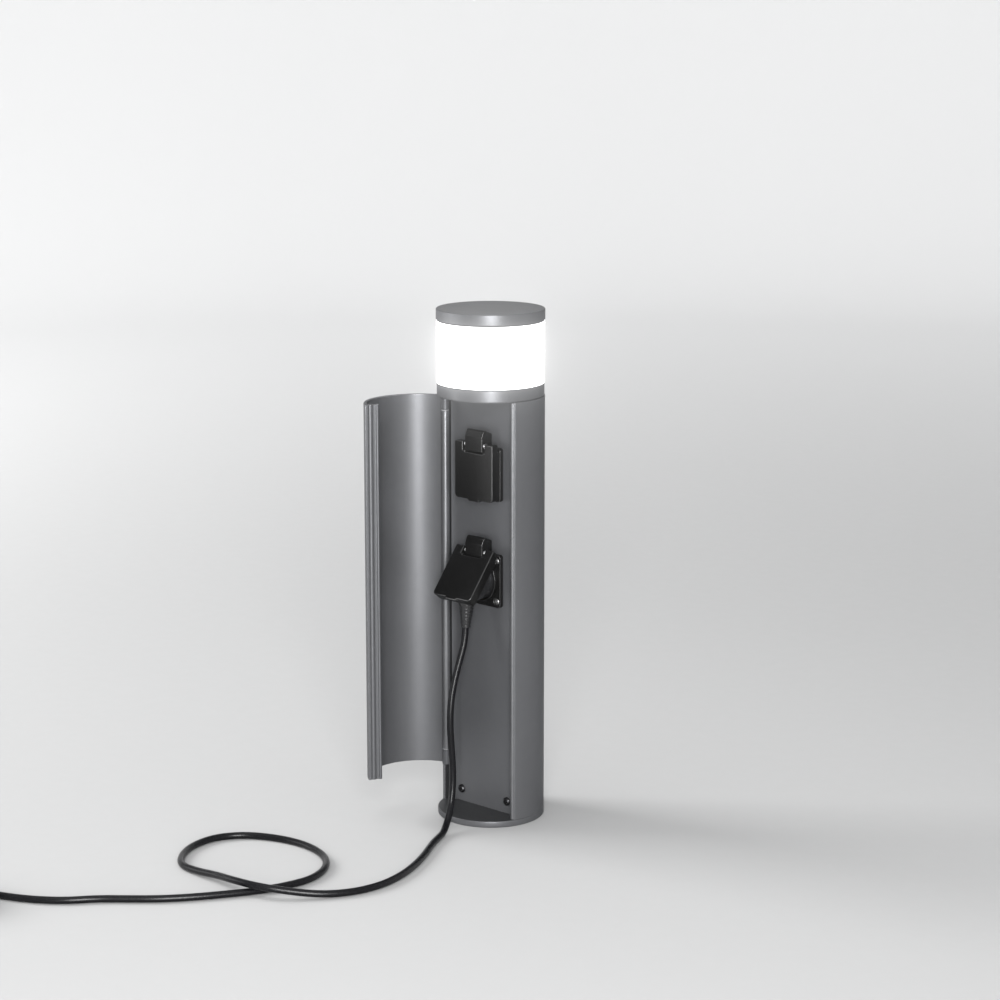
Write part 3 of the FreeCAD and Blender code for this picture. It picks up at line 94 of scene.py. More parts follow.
# %% The lead's route over the floor, in millimetres
LEAD_DIAMETER = 6.4
LEAD_ROUTE = np.array([
    (0.0, -34.2, 186.5), (0.0, -35.1, 174.0), (0.1, -40.4, 160.5), (0.4, -48.2, 142.8),
    (1.0, -55.1, 122.1), (1.6, -57.4, 98.1), (2.2, -55.9, 74.2), (2.8, -54.8, 54.2),
    (3.2, -55.6, 38.5), (4.3, -58.6, 24.8), (7.8, -65.2, 14.6), (12.6, -74.2, 7.1),
    (18.3, -84.8, 3.2), (23.2, -95.6, 3.2), (29.6, -109.2, 3.2), (39.0, -125.4, 3.2),
    (49.0, -142.3, 3.2), (60.6, -166.2, 3.2), (69.7, -192.5, 3.2), (73.5, -220.4, 3.2),
    (67.9, -248.0, 3.2), (53.5, -271.0, 3.7), (34.5, -290.0, 6.6), (13.2, -308.4, 11.0),
    (-14.6, -312.4, 11.0), (-41.2, -307.5, 7.7), (-67.0, -306.5, 4.5), (-94.0, -304.4, 3.2),
    (-114.3, -285.8, 3.2), (-126.4, -261.2, 3.2), (-128.0, -233.5, 3.2), (-113.0, -210.6, 3.2),
    (-88.7, -197.8, 3.2), (-62.0, -191.7, 3.2), (-34.7, -194.2, 3.2), (-9.5, -205.1, 3.2),
    (9.1, -225.3, 3.2), (18.0, -251.3, 3.2), (13.3, -278.1, 3.2), (4.0, -303.8, 3.2),
    (-9.8, -327.3, 3.2), (-24.7, -350.2, 3.2), (-41.6, -371.5, 3.2), (-61.6, -389.9, 3.2),
    (-82.3, -408.0, 3.2), (-98.6, -430.0, 3.2), (-120.1, -446.1, 3.2), (-144.0, -457.6, 3.2),
    (-166.0, -464.5, 3.2), (-186.0, -464.5, 3.2),
])
print(len(LEAD_ROUTE), "points from the strain relief to the coil")

# %% The put-away coil
STEP_TURNS = 0.5


def coil_points(start, turns=7.25, layers=4, middle=36.0, pitch=7.2, per_turn=16):
    """Points of a round coil in layers. Angle grows evenly. The radius runs in and out between the outer and
    inner turn, and the height steps up by one pitch between layers along a smooth S of half a turn."""
    turn = np.arange(0, turns + 1e-9, 1 / per_turn)
    per_layer = turns / layers
    layer = np.minimum((turn / per_layer).astype(int), layers - 1)
    within = turn - layer * per_layer
    outer = middle + pitch * per_layer / 2
    radius = np.where(layer % 2 == 0, outer - pitch * within, outer - pitch * (per_layer - within))
    level = np.zeros_like(turn)
    for edge in range(1, layers):
        share = np.clip((turn - edge * per_layer + STEP_TURNS / 2) / STEP_TURNS, 0, 1)
        level += share * share * (3 - 2 * share)
    angle = 2 * np.pi * turn + np.pi / 2
    spokes = np.stack([np.cos(angle), np.sin(angle), np.zeros_like(angle)], axis=1)
    centre = start - (0, outer, 0)
    return centre + spokes * radius[:, None] + np.outer(level * pitch, (0, 0, 1))


coil = coil_points(LEAD_ROUTE[-1] + (-LEAD_DIAMETER, 0, 0))
print("coil of", len(coil), "points, about", round(float(np.ptp(coil[:, 0]) + LEAD_DIAMETER)), "mm across")

# %% From the coil into the connector
CONNECTOR_AXIS_HEIGHT = 22.1
TAIL_FLAT, TAIL_RISEN, TAIL_AT_CONNECTOR = 7, 18, 26

coil_end = coil[-1]
tail = np.array([
    coil_end + (0, -TAIL_FLAT, 0),
    (coil_end[0], coil_end[1] - TAIL_RISEN, CONNECTOR_AXIS_HEIGHT),
    (coil_end[0], coil_end[1] - TAIL_AT_CONNECTOR, CONNECTOR_AXIS_HEIGHT),
    (coil_end[0], coil_end[1] - TAIL_AT_CONNECTOR - LEAD_DIAMETER, CONNECTOR_AXIS_HEIGHT),
])
print("connector's axis", CONNECTOR_AXIS_HEIGHT, "mm above the floor")


# %% One smooth spline with a round section
def smooth_curve(name, points_mm, diameter_mm, steps_along=6, steps_round=5):
    """A NURBS curve of order 3 through its end points, with a round section of that diameter."""
    curve = bpy.data.curves.new(name, "CURVE")
    curve.dimensions = "3D"
    spline = curve.splines.new("NURBS")
    spline.points.add(len(points_mm) - 1)
    weighted = np.concatenate([points_mm * MM, np.ones((len(points_mm), 1))], axis=1)
    spline.points.foreach_set("co", weighted.astype(np.float32).ravel())
    spline.order_u = 3
    spline.use_endpoint_u = True
    curve.resolution_u = steps_along
    curve.bevel_depth = diameter_mm / 2 * MM
    curve.bevel_resolution = steps_round
    return added(name, curve)


lead_points = np.concatenate([LEAD_ROUTE, coil, tail])
lead = smooth_curve("lead", lead_points, LEAD_DIAMETER)
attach(lead, "column")
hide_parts("lead_cord", "lead_coil")
print("lead of", len(lead_points), "points")

# %% [markdown]
# The shell's edge beside the bay is rolled into a round bead, which catches a bright line down its height,
# and its lighter edge coat adds a painted highlight there.
# It is a surface on a grid of two parameters. One helper turns such a grid into a mesh: it joins each point
# to its neighbours with four-sided faces, closes the ring round the piece, and fans the ends shut.

# %% A grid of points becomes a mesh
CREASE_DEG = 38


def ring_quads(rings, around):
    """Four-sided faces that join each ring of points to the next, as rows of point numbers."""
    step = np.arange(around)
    ahead = (step + 1) % around
    row = around * np.arange(rings - 1)[:, None]
    quads = np.stack([row + step, row + around + step, row + around + ahead, row + ahead], axis=-1)
    return quads.reshape(-1, 4).tolist()


def face_outwards(mesh):
    """Turns all faces of a closed mesh outwards."""
    work = bmesh.new()
    work.from_mesh(mesh)
    bmesh.ops.recalc_face_normals(work, faces=work.faces)
    work.to_mesh(mesh)
    work.free()


def grid_piece(name, grid):
    """Closed piece from points of shape (rings, around, 3) in millimetres. Faces join ring to ring, and each
    end is a fan to the mean point of its ring."""
    rings, around = grid.shape[:2]
    points = np.concatenate([grid.reshape(-1, 3), grid[0].mean(0)[None], grid[-1].mean(0)[None]])
    first_middle, last_middle, last_ring = len(points) - 2, len(points) - 1, (rings - 1) * around
    step = np.arange(around)
    ahead = (step + 1) % around
    first_fan = np.stack([np.full(around, first_middle), step, ahead], axis=1)
    last_fan = np.stack([np.full(around, last_middle), last_ring + ahead, last_ring + step], axis=1)
    mesh = bpy.data.meshes.new(name)
    faces = ring_quads(rings, around) + first_fan.tolist() + last_fan.tolist()
    mesh.from_pydata((points * MM).tolist(), [], faces)
    mesh.validate()
    mesh.shade_smooth()
    mesh.set_sharp_from_angle(angle=np.radians(CREASE_DEG))
    face_outwards(mesh)
    piece = added(name, mesh)
    return piece


# %% The bead on the shell's front edge
BEAD_RADIUS, BEAD_ANGLE = 47.85, 67.8
BEAD_WIDE, BEAD_LOW, BEAD_UNDER_TOP = 4.2, 6.2, 0.2
CHAMFER_HIGH, CHAMFERED_SHARE = 0.5, 0.76


def bead_grid(low, high, around=40):
    """Rings of an upright round bar in the shell's wall. Its middle lies at the bead's radius, turned by the
    bead's angle from the front. The first and last rings are smaller, so that the ends are chamfered."""
    turn = np.radians(BEAD_ANGLE)
    middle = np.array((BEAD_RADIUS * np.sin(turn), -BEAD_RADIUS * np.cos(turn), 0.0))
    heights = np.array((low, low + CHAMFER_HIGH, high - CHAMFER_HIGH, high))
    sizes = np.array((CHAMFERED_SHARE, 1.0, 1.0, CHAMFERED_SHARE)) * BEAD_WIDE / 2
    angle = np.linspace(0, 2 * np.pi, around, endpoint=False)
    circle = np.stack([np.cos(angle), np.sin(angle), np.zeros(around)], axis=1)
    rise = heights[:, None, None] * np.array((0.0, 0.0, 1.0))
    return middle + sizes[:, None, None] * circle[None] + rise


BEAD_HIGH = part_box("column_shell")[1][2] / MM - BEAD_UNDER_TOP
bead = grid_piece("shell_edge_bead", bead_grid(BEAD_LOW, BEAD_HIGH))
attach(bead, "column")
print("bead from", BEAD_LOW, "to", round(BEAD_HIGH, 1), "mm")

# %% [markdown]
# No real edge is a knife edge. Sheet, castings and mouldings all have a small round there, and it is what
# draws the thin bright lines down this object's edges. The engineering solids keep their sharp edges, so
# each one that shows is copied, cleaned of its triangles, and given a narrow Bevel. Weighted normals keep the
# flats flat right up to the round. The Bevel puts the copy's second material on the rounds: on coated metal
# and socket plastic this is a lighter tone, a painted highlight along the bright lines.

# %% Which edges are rounded, and how much
TINY = 1e-12
BODY_OF = {node: body for body, nodes in BEHAVIOUR["bodies"].items() for node in nodes}
SLOT_OF = {part["node"]: part["material_slot"] for part in frame["record"]["subparts"]}
SAME_PLACE = 1e-6
FLAT_WITHIN = np.radians(0.4)
ROUND_FROM = np.radians(50)
SMALL_RIM = 0.007
UPRIGHT_FROM = 0.99
BAY_FRONT, BAY_SIDE = -0.010, 0.040
OTHER_EDGES = 0.2


def same_width(middles, ways):
    """Every edge gets the piece's whole width."""
    return np.ones(len(middles))


def bay_edges(middles, ways):
    """Upright edges of the shell beside the bay get a full round, and all others a fifth of it."""
    upright = np.abs(ways[:, 2]) > UPRIGHT_FROM
    beside_bay = (middles[:, 1] < BAY_FRONT) & (np.abs(middles[:, 0]) > BAY_SIDE)
    return np.where(upright & beside_bay, 1.0, OTHER_EDGES)


# %% How large a rim is
def chain_sizes(places, first, last):
    """Size across the chain that each edge belongs to. Points that edges join take the lowest label among
    them until nothing changes, and the size is the diagonal of the box round the points of one label."""
    label, before = np.arange(len(places)), None
    while before is None or (label != before).any():
        before = label.copy()
        lowest = np.minimum(label[first], label[last])
        np.minimum.at(label, first, lowest)
        np.minimum.at(label, last, lowest)
        label = label[label]
    low, high = np.full(places.shape, np.inf), np.full(places.shape, -np.inf)
    for side in (first, last):
        np.minimum.at(low, label[side], places[side])
        np.maximum.at(high, label[side], places[side])
    return np.linalg.norm(high[label[first]] - low[label[first]], axis=1)


# %% A weight for every edge
def edge_weights(work, shares):
    """Weight of every edge for the Bevel. It is 0 where the faces turn by less than 50 degrees, and on the
    rims of holes under 7 mm across, because the round wouldn't fit between their short edges."""
    places = np.array([tuple(vert.co) for vert in work.verts])
    first, last = np.array([[vert.index for vert in edge.verts] for edge in work.edges]).T
    turns = np.array([edge.calc_face_angle(0.0) for edge in work.edges])
    sharp = np.flatnonzero(turns > ROUND_FROM)
    sharp = sharp[chain_sizes(places, first[sharp], last[sharp]) > SMALL_RIM]
    ways = places[last[sharp]] - places[first[sharp]]
    ways /= np.linalg.norm(ways, axis=1)[:, None] + TINY
    weights = np.zeros(len(turns), np.float32)
    weights[sharp] = shares((places[first[sharp]] + places[last[sharp]]) / 2, ways)
    return weights


# %% Copies with eased edges
# The copy's second material: on coated metal and socket plastic, a painted highlight.
EDGE_HIGHLIGHT_INDEX = 1
SHELL_WIDTH, SHELL_SEGMENTS = 1.35, 5
EASED_WIDTHS = {
    "door": 0.5, "top_collar": 0.3, "cap": 0.3, "base_plate": 0.4, "mounting_panel": 0.4,
    "hinge_knuckle_lower": 0.3, "hinge_knuckle_upper": 0.3, "upper_frame": 0.5, "lower_frame": 0.5,
    "upper_lid": 0.8, "lower_lid": 0.8, "upper_face": 0.3, "lower_face": 0.3, "plug_body": 0.6,
    "strain_relief": 0.25, "connector": 0.5,
}


def eased(node, width_mm, shares=same_width, segments=3):
    """Copy of a node's mesh with rounded edges. Points at one place are merged, and faces in one plane are
    joined. Then each edge gets a round as wide as width_mm times its weight."""
    mesh = frame["nodes"][node].data.copy()
    work = bmesh.new()
    work.from_mesh(mesh)
    bmesh.ops.remove_doubles(work, verts=work.verts, dist=SAME_PLACE)
    bmesh.ops.dissolve_limit(work, angle_limit=FLAT_WITHIN, verts=work.verts, edges=work.edges)
    work.verts.index_update()
    weights = edge_weights(work, shares)
    work.to_mesh(mesh)
    work.free()
    mesh.attributes.new("bevel_weight_edge", "FLOAT", "EDGE").data.foreach_set("value", weights)
    mesh.shade_smooth()
    piece = added(node + "_eased", mesh)
    bevel = piece.modifiers.new("eased edges", "BEVEL")
    bevel.width, bevel.segments = width_mm * MM, segments
    bevel.limit_method, bevel.use_clamp_overlap = "WEIGHT", False
    bevel.material = EDGE_HIGHLIGHT_INDEX
    piece.modifiers.new("even shading", "WEIGHTED_NORMAL").keep_sharp = True
    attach(piece, BODY_OF[node])
    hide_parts(node)
    return piece


EASED = {node: eased(node, width) for node, width in EASED_WIDTHS.items()}
EASED["column_shell"] = eased("column_shell", SHELL_WIDTH, bay_edges, SHELL_SEGMENTS)
print(len(EASED), "nodes have eased copies")

# %% [markdown]
# The lead runs about 2.8 m, from the strain relief to the connector.

# %% The lead's length
print("lead about 2.8 m long")

# %% [markdown]
# Finishes share three effects: fine grain, slow drift and settled dust. Each is a shader group that gives out
# a mask or a height, so every material can use it with its own strength. They read Object coordinates, which
# are metres on every piece, so the grain has its real size everywhere.

# %% Groups with named inputs and outputs
def new_group(name, inputs, outputs):
    """Empty shader group. Inputs are (name, value) numbers; outputs are names of numbers."""
    group = bpy.data.node_groups.new(name, "ShaderNodeTree")
    for label, value in inputs:
        socket = group.interface.new_socket(label, in_out="INPUT", socket_type="NodeSocketFloat")
        socket.default_value = value
    for label in outputs:
        group.interface.new_socket(label, in_out="OUTPUT", socket_type="NodeSocketFloat")
    return group, group.nodes.new("NodeGroupInput"), group.nodes.new("NodeGroupOutput")


# %% Sums and products of sockets or numbers
def feed(tree, socket, value):
    """Links a socket into an input, or writes a number or an RGB tone into it."""
    if isinstance(value, bpy.types.NodeSocket):
        tree.links.new(value, socket)
    else:
        socket.default_value = (*value, 1) if isinstance(value, tuple) else value


def math_node(tree, operation, *values, clamp=False):
    """Math node whose inputs are sockets or numbers."""
    node = tree.nodes.new("ShaderNodeMath")
    node.operation = operation
    node.use_clamp = clamp
    for socket, value in zip(node.inputs, values):
        feed(tree, socket, value)
    return node.outputs[0]


def shared_sum(tree, first, second, share):
    """The first value times share, plus the second times the rest of one."""
    rest = math_node(tree, "MULTIPLY", second, 1 - share)
    return math_node(tree, "ADD", math_node(tree, "MULTIPLY", first, share), rest)


# %% Places, noise and ramps
def object_place(tree):
    """Object coordinates, in metres."""
    return tree.nodes.new("ShaderNodeTexCoord").outputs["Object"]


def height_part(tree, vector):
    """Upward part of a vector."""
    parts = tree.nodes.new("ShaderNodeSeparateXYZ")
    tree.links.new(vector, parts.inputs[0])
    return parts.outputs["Z"]


def noise_node(tree, scale, detail=2.0, rough=0.5):
    """3D noise on Object coordinates. scale is a socket or a number of cells per metre."""
    noise = tree.nodes.new("ShaderNodeTexNoise")
    tree.links.new(object_place(tree), noise.inputs["Vector"])
    for label, value in (("Scale", scale), ("Detail", detail), ("Roughness", rough)):
        feed(tree, noise.inputs[label], value)
    return noise.outputs["Fac"]


def ramp(tree, value, low, high, shape="LINEAR"):
    """Value spread so that low becomes 0 and high becomes 1, held between them."""
    node = tree.nodes.new("ShaderNodeMapRange")
    node.interpolation_type = shape
    node.clamp = True
    for label, given in (("Value", value), ("From Min", low), ("From Max", high)):
        feed(tree, node.inputs[label], given)
    return node.outputs["Result"]


# %% Fine grain
def make_grain():
    """Height and mask of a sprayed or moulded skin: two noises, the finer at three times the scale."""
    group, given, result = new_group("fine grain", [("Scale", 2500.0)], ["Mask", "Height"])
    coarse = noise_node(group, given.outputs["Scale"], detail=1.0)
    fine = noise_node(group, math_node(group, "MULTIPLY", given.outputs["Scale"], 3.0), detail=1.0)
    height = shared_sum(group, coarse, fine, 0.7)
    group.links.new(height, result.inputs["Height"])
    group.links.new(ramp(group, height, 0.4, 0.6), result.inputs["Mask"])
    return group


GRAIN = make_grain()
print("group", GRAIN.name)


# %% Drift of tone over a large surface
def make_drift():
    """Slow change of tone, as handling and weather leave it: low noise broken up by a faster one."""
    group, given, result = new_group("slow drift", [("Scale", 14.0)], ["Mask"])
    slow = noise_node(group, given.outputs["Scale"], detail=3.0, rough=0.6)
    quick = noise_node(group, math_node(group, "MULTIPLY", given.outputs["Scale"], 9.0))
    both = shared_sum(group, slow, quick, 0.75)
    group.links.new(ramp(group, both, 0.35, 0.65), result.inputs["Mask"])
    return group


DRIFT = make_drift()
print("group", DRIFT.name)


# %% Dust that lies on what faces up
def make_dust():
    """Mask of dust: how far the normal points up, from 0.6 to 1, broken into patches by noise."""
    group, given, result = new_group("settled dust", [("Amount", 0.3)], ["Mask"])
    face = group.nodes.new("ShaderNodeNewGeometry")
    up = ramp(group, height_part(group, face.outputs["Normal"]), 0.6, 1.0)
    patches = ramp(group, noise_node(group, 60.0, detail=4.0, rough=0.65), 0.4, 0.7)
    whole = math_node(group, "MULTIPLY", up, patches)
    mask = math_node(group, "MULTIPLY", whole, given.outputs["Amount"], clamp=True)
    group.links.new(mask, result.inputs["Mask"])
    return group


DUST = make_dust()
print("group", DUST.name)

# %% [markdown]
# Every finish starts from one Principled shader. Constants such as metallic sit on the shader's own sockets.
# What changes over the surface is linked: tone drifts, dust lightens, and the grain moves roughness and feeds
# a bump.

# %% Groups and mixes inside a material
def group_outputs(tree, group, **values):
    """Outputs of a group's node in this tree, with numbers for its inputs."""
    node = tree.nodes.new("ShaderNodeGroup")
    node.node_tree = group
    for label, value in values.items():
        node.inputs[label].default_value = value
    return node.outputs


def mixed(tree, share, first, second):
    """The first tone where share is 0 and the second where it is 1. Tones are sockets or RGB numbers."""
    node = tree.nodes.new("ShaderNodeMix")
    node.data_type = "RGBA"
    for label, value in (("Factor", share), ("A", first), ("B", second)):
        feed(tree, node.inputs[label], value)
    return node.outputs["Result"]


def shader_of(material):
    """The Principled shader of a material."""
    return material.node_tree.nodes["Principled BSDF"]


# %% A finish made of tone, gloss, grain and dust
DUST_TONE = (0.42, 0.40, 0.37)
GRAIN_DEPTH = 0.0002
print("dust lightens towards", DUST_TONE)


def finish(name, tone, rough, metallic=0.0, grain=(2500.0, 0.05, 0.02), drift=0.12, dust=0.0, gloss=0.5):
    """Material. tone is linear RGB. grain is (cells per metre, bump strength, change of roughness). drift and
    dust are shares of tone change. gloss is how much a plastic mirrors, 0.5 for most."""
    material = bpy.data.materials.new(name)
    material.use_nodes = True
    tree = material.node_tree
    shader = shader_of(material)
    shader.inputs["Metallic"].default_value = metallic
    shader.inputs["Specular IOR Level"].default_value = gloss
    cells, bump_strength, rough_change = grain
    skin = group_outputs(tree, GRAIN, Scale=cells)
    darker = tuple(c * (1 - drift) for c in tone)
    lighter = tuple(min(1, c * (1 + drift)) for c in tone)
    tones = mixed(tree, group_outputs(tree, DRIFT)["Mask"], darker, lighter)
    dusty = mixed(tree, group_outputs(tree, DUST, Amount=dust)["Mask"], tones, DUST_TONE)
    wander = math_node(tree, "MULTIPLY_ADD", skin["Mask"], rough_change, rough - rough_change / 2)
    bump = tree.nodes.new("ShaderNodeBump")
    bump.inputs["Strength"].default_value = bump_strength
    bump.inputs["Distance"].default_value = GRAIN_DEPTH
    tree.links.new(skin["Height"], bump.inputs["Height"])
    for label, source in (("Base Color", dusty), ("Roughness", wander), ("Normal", bump.outputs["Normal"])):
        tree.links.new(source, shader.inputs[label])
    return material


# %% [markdown]
# The column, door, cap and collar are aluminium under a metallic grey coat: flakes in a dark pigment. So the
# shader is a little over half metallic. The flakes give the broad soft highlights, and the pigment keeps the
# shaded inside of the door grey. The tint at the rim is lowered, because such a coat doesn't turn to a mirror
# at a grazing look. The grain is about a third of a millimetre. The rounds of the edges get a smoother coat
# with a lighter tone, a painted highlight that brightens their lines, and the sockets' plastic gets the same.

# %% Coated metal
RIM_TINT = (0.3, 0.3, 0.31, 1)
COAT = finish("coated metal", (0.128, 0.130, 0.136), 0.38, metallic=0.60,
              grain=(3200.0, 0.10, 0.10), drift=0.04, dust=0.06)
PANEL_COAT = finish("panel coat", (0.110, 0.112, 0.118), 0.42, metallic=0.50,
                    grain=(3200.0, 0.08, 0.10), drift=0.04)
# The edge coat is lighter than the coat: its tone is a painted highlight on the rounds.
COAT_EDGE_HIGHLIGHT = finish("coated metal edge highlight", (0.175, 0.177, 0.184), 0.27, metallic=0.70,
                   grain=(3200.0, 0.06, 0.08), drift=0.04)
# The bay floor tone, much darker than the coat, is painted shade on the foot's up-facing faces in the bay.
BAY_FLOOR_SHADE = finish("bay floor", (0.045, 0.046, 0.048), 0.50, metallic=0.4,
                   grain=(1600.0, 0.1, 0.1), drift=0.08)
for material in (COAT, PANEL_COAT, COAT_EDGE_HIGHLIGHT):
    shader_of(material).inputs["Specular Tint"].default_value = RIM_TINT
print("coats ready")

# %% Bare metal
DARK_STEEL = finish("blackened steel", (0.035, 0.035, 0.037), 0.38, metallic=0.9, grain=(900.0, 0.05, 0.15))
DULL_STEEL = finish("dull steel", (0.26, 0.26, 0.26), 0.46, metallic=1.0, grain=(900.0, 0.05, 0.15))
STEEL = finish("zinc-plated steel", (0.60, 0.60, 0.61), 0.30, metallic=1.0,
               grain=(900.0, 0.05, 0.18), drift=0.08)
POST_METAL = finish("plain aluminium", (0.72, 0.72, 0.73), 0.34, metallic=1.0,
                    grain=(700.0, 0.05, 0.15), drift=0.06)
BRASS = finish("brass", (0.72, 0.56, 0.28), 0.28, metallic=1.0, grain=(700.0, 0.04, 0.15), drift=0.10)
print("metals ready")

# %% Rubber and plastic
RUBBER = finish("seal rubber", (0.012, 0.012, 0.013), 0.62,
                grain=(1800.0, 0.25, 0.15), drift=0.15, gloss=0.25)
CORD_RUBBER = finish("lead rubber", (0.004, 0.004, 0.005), 0.28, grain=(1500.0, 0.10, 0.08), gloss=0.25)
PLUG_RUBBER = finish("plug rubber", (0.014, 0.014, 0.015), 0.24,
                     grain=(2200.0, 0.10, 0.08), drift=0.10, gloss=0.60)
BLACK_PLASTIC = finish("socket plastic", (0.006, 0.006, 0.006), 0.24,
                       grain=(2600.0, 0.10, 0.06), drift=0.10, gloss=0.22)
# The edge plastic is twice as light as the socket plastic and glossier: its tone is a painted highlight on
# the lids' edges.
PLASTIC_EDGE_HIGHLIGHT = finish("socket plastic edge highlight", (0.012, 0.012, 0.012), 0.20,
                      grain=(2600.0, 0.06, 0.06), drift=0.10, gloss=0.90)
GREY_PLASTIC = finish("grey plastic", (0.32, 0.32, 0.33), 0.50, grain=(1400.0, 0.15, 0.12), drift=0.06)
BOARD = finish("board lacquer", (0.82, 0.82, 0.80), 0.35, grain=(900.0, 0.05, 0.08), drift=0.03)
CHIP = finish("chip resin", (0.80, 0.62, 0.18), 0.25, grain=(3000.0, 0.05, 0.05), drift=0.05)
SHEATH = finish("wire sheath", (0.26, 0.15, 0.07), 0.40, grain=(1200.0, 0.08, 0.10), drift=0.30)
print("rubber and plastic ready")

# %% [markdown]
# The diffuser is opal acrylic, lit from inside by the boards. In daylight exposure it burns out to white, so
# it gives off light itself: a little less at its two ends, where the seals hide the boards.

# %% Lit opal
LAMP_LOW, LAMP_HIGH = (v[2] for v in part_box("diffuser"))
FADE_BEYOND, FADE_WITHIN = 0.002, 0.008
GLOW_AT_ENDS, GLOW = (0.62, 0.62, 0.64), (1.0, 1.0, 1.0)
GLOW_STRENGTH = 2.6

OPAL = finish("lit opal", (0.90, 0.90, 0.88), 0.35, grain=(900.0, 0.03, 0.05), drift=0.01)
opal_tree = OPAL.node_tree
lamp_height = height_part(opal_tree, object_place(opal_tree))
from_low = ramp(opal_tree, lamp_height, LAMP_LOW - FADE_BEYOND, LAMP_LOW + FADE_WITHIN)
from_high = ramp(opal_tree, lamp_height, LAMP_HIGH + FADE_BEYOND, LAMP_HIGH - FADE_WITHIN)
lit_share = math_node(opal_tree, "MULTIPLY", from_low, from_high)
glow_tone = mixed(opal_tree, lit_share, GLOW_AT_ENDS, GLOW)
opal_tree.links.new(glow_tone, shader_of(OPAL).inputs["Emission Color"])
shader_of(OPAL).inputs["Emission Strength"].default_value = GLOW_STRENGTH
print("diffuser from", round(LAMP_LOW, 3), "to", round(LAMP_HIGH, 3), "m")

# %% Every CAD node gets its finish
FINISHES = {
    "coated_metal": COAT, "panel_metal": PANEL_COAT, "steel": STEEL, "post_metal": POST_METAL, "brass": BRASS,
    "opal": OPAL, "seal_rubber": RUBBER, "black_plastic": BLACK_PLASTIC, "grey_plastic": GREY_PLASTIC,
    "board_white": BOARD, "chip_yellow": CHIP, "wire_sheath": SHEATH, "plug_rubber": PLUG_RUBBER,
    "cord_rubber": CORD_RUBBER,
}
# Lighter finishes for the rounds of coated metal and socket plastic: painted highlights.
EDGE_HIGHLIGHT_FINISHES = {"coated_metal": COAT_EDGE_HIGHLIGHT, "black_plastic": PLASTIC_EDGE_HIGHLIGHT}
NODE_FINISHES = {
    "panel_screws": DARK_STEEL, "upper_lid_pin": DULL_STEEL, "lower_lid_pin": DULL_STEEL,
    "upper_frame_screws": DULL_STEEL, "lower_frame_screws": DULL_STEEL,
}


def wear(piece, material):
    """Puts one material on every slot of a piece."""
    if not piece.data.materials:
        piece.data.materials.append(material)
    for slot in piece.material_slots:
        slot.material = material


for node, piece in frame["nodes"].items():
    wear(piece, NODE_FINISHES.get(node, FINISHES[SLOT_OF[node]]))
for node, piece in EASED.items():
    plain = FINISHES[SLOT_OF[node]]
    piece.data.materials.clear()
    for material in (plain, EDGE_HIGHLIGHT_FINISHES.get(SLOT_OF[node], plain)):
        piece.data.materials.append(material)
wear(lead, CORD_RUBBER)
# The bead wears the lighter edge coat all over: a painted highlight down its height.
wear(bead, COAT_EDGE_HIGHLIGHT)
print(len(frame["nodes"]), "nodes finished")

# %% Painted shade on the bay floor and a painted highlight on the hinge
BAY_FLOOR_INDEX = 2
FACES_UP_FROM = 0.9
HINGE_AXIS = next(joint["pos_m"][:2] for joint in BEHAVIOUR["joints"] if joint["name"] == "door_hinge")
BARREL_REACH = 0.0042


def face_values(mesh, name):
    """Centre or normal of every face, as rows of three numbers."""
    values = np.zeros(len(mesh.polygons) * 3)
    mesh.polygons.foreach_get(name, values)
    return values.reshape(-1, 3)


def paint_faces(mesh, picked, index):
    """Gives the picked faces the material of that index and all others the first one."""
    mesh.polygons.foreach_set("material_index", np.where(picked, index, 0).astype(np.int32))


# The up-facing faces of the foot take the dark bay floor tone: painted shade.
foot = EASED["base_plate"].data
foot.materials.append(BAY_FLOOR_SHADE)
paint_faces(foot, face_values(foot, "normal")[:, 2] > FACES_UP_FROM, BAY_FLOOR_INDEX)
# The hinge barrel's faces on the door and both knuckles take the lighter edge coat: a painted highlight down
# the hinge.
door_mesh = EASED["door"].data
from_hinge = np.linalg.norm(face_values(door_mesh, "center")[:, :2] - HINGE_AXIS, axis=1)
paint_faces(door_mesh, from_hinge < BARREL_REACH, EDGE_HIGHLIGHT_INDEX)
for node in ("hinge_knuckle_lower", "hinge_knuckle_upper"):
    knuckle = EASED[node].data
    paint_faces(knuckle, np.ones(len(knuckle.polygons), bool), EDGE_HIGHLIGHT_INDEX)
print("own finishes on the bay floor and the hinge at", HINGE_AXIS)

# %% [markdown]
# The floor is a pale studio floor that rises into a round wall far behind, so no horizon shows from any side.
# It is a profile turned about the upright axis: flat, then a quarter circle, then straight up. The paint is
# darker near the object and lighter out on the wall: painted shade on the floor and painted light on the
# wall. Seen from outside the wall lets the view through, because a long lens stands further off than the wall
# does.

# %% Floor and wall in one surface
FLOOR_RADII = (0.02, 0.5, 1.5, 2.5)
BEND_POINTS = 17


def make_stage(flat=3.4, bend=1.6, wall=1.2, around=96):
    """Turned surface: the radius grows over the flat part, a quarter circle turns it up, then it rises."""
    quarter = np.linspace(0, np.pi / 2, BEND_POINTS)
    radius = np.concatenate([FLOOR_RADII, flat + bend * np.sin(quarter), [flat + bend]])
    height = np.concatenate([np.zeros(len(FLOOR_RADII)), bend * (1 - np.cos(quarter)), [bend + wall]])
    angle = np.linspace(0, 2 * np.pi, around, endpoint=False)
    ring = np.stack([np.cos(angle), np.sin(angle)], axis=1)
    rise = np.broadcast_to(height[:, None, None], (len(radius), around, 1))
    points = np.concatenate([radius[:, None, None] * ring[None], rise], axis=2)
    faces = ring_quads(len(radius), around) + [list(range(around))]
    mesh = bpy.data.meshes.new("stage")
    mesh.from_pydata(points.reshape(-1, 3).tolist(), [], faces)
    mesh.shade_smooth()
    piece = added("stage", mesh)
    return piece


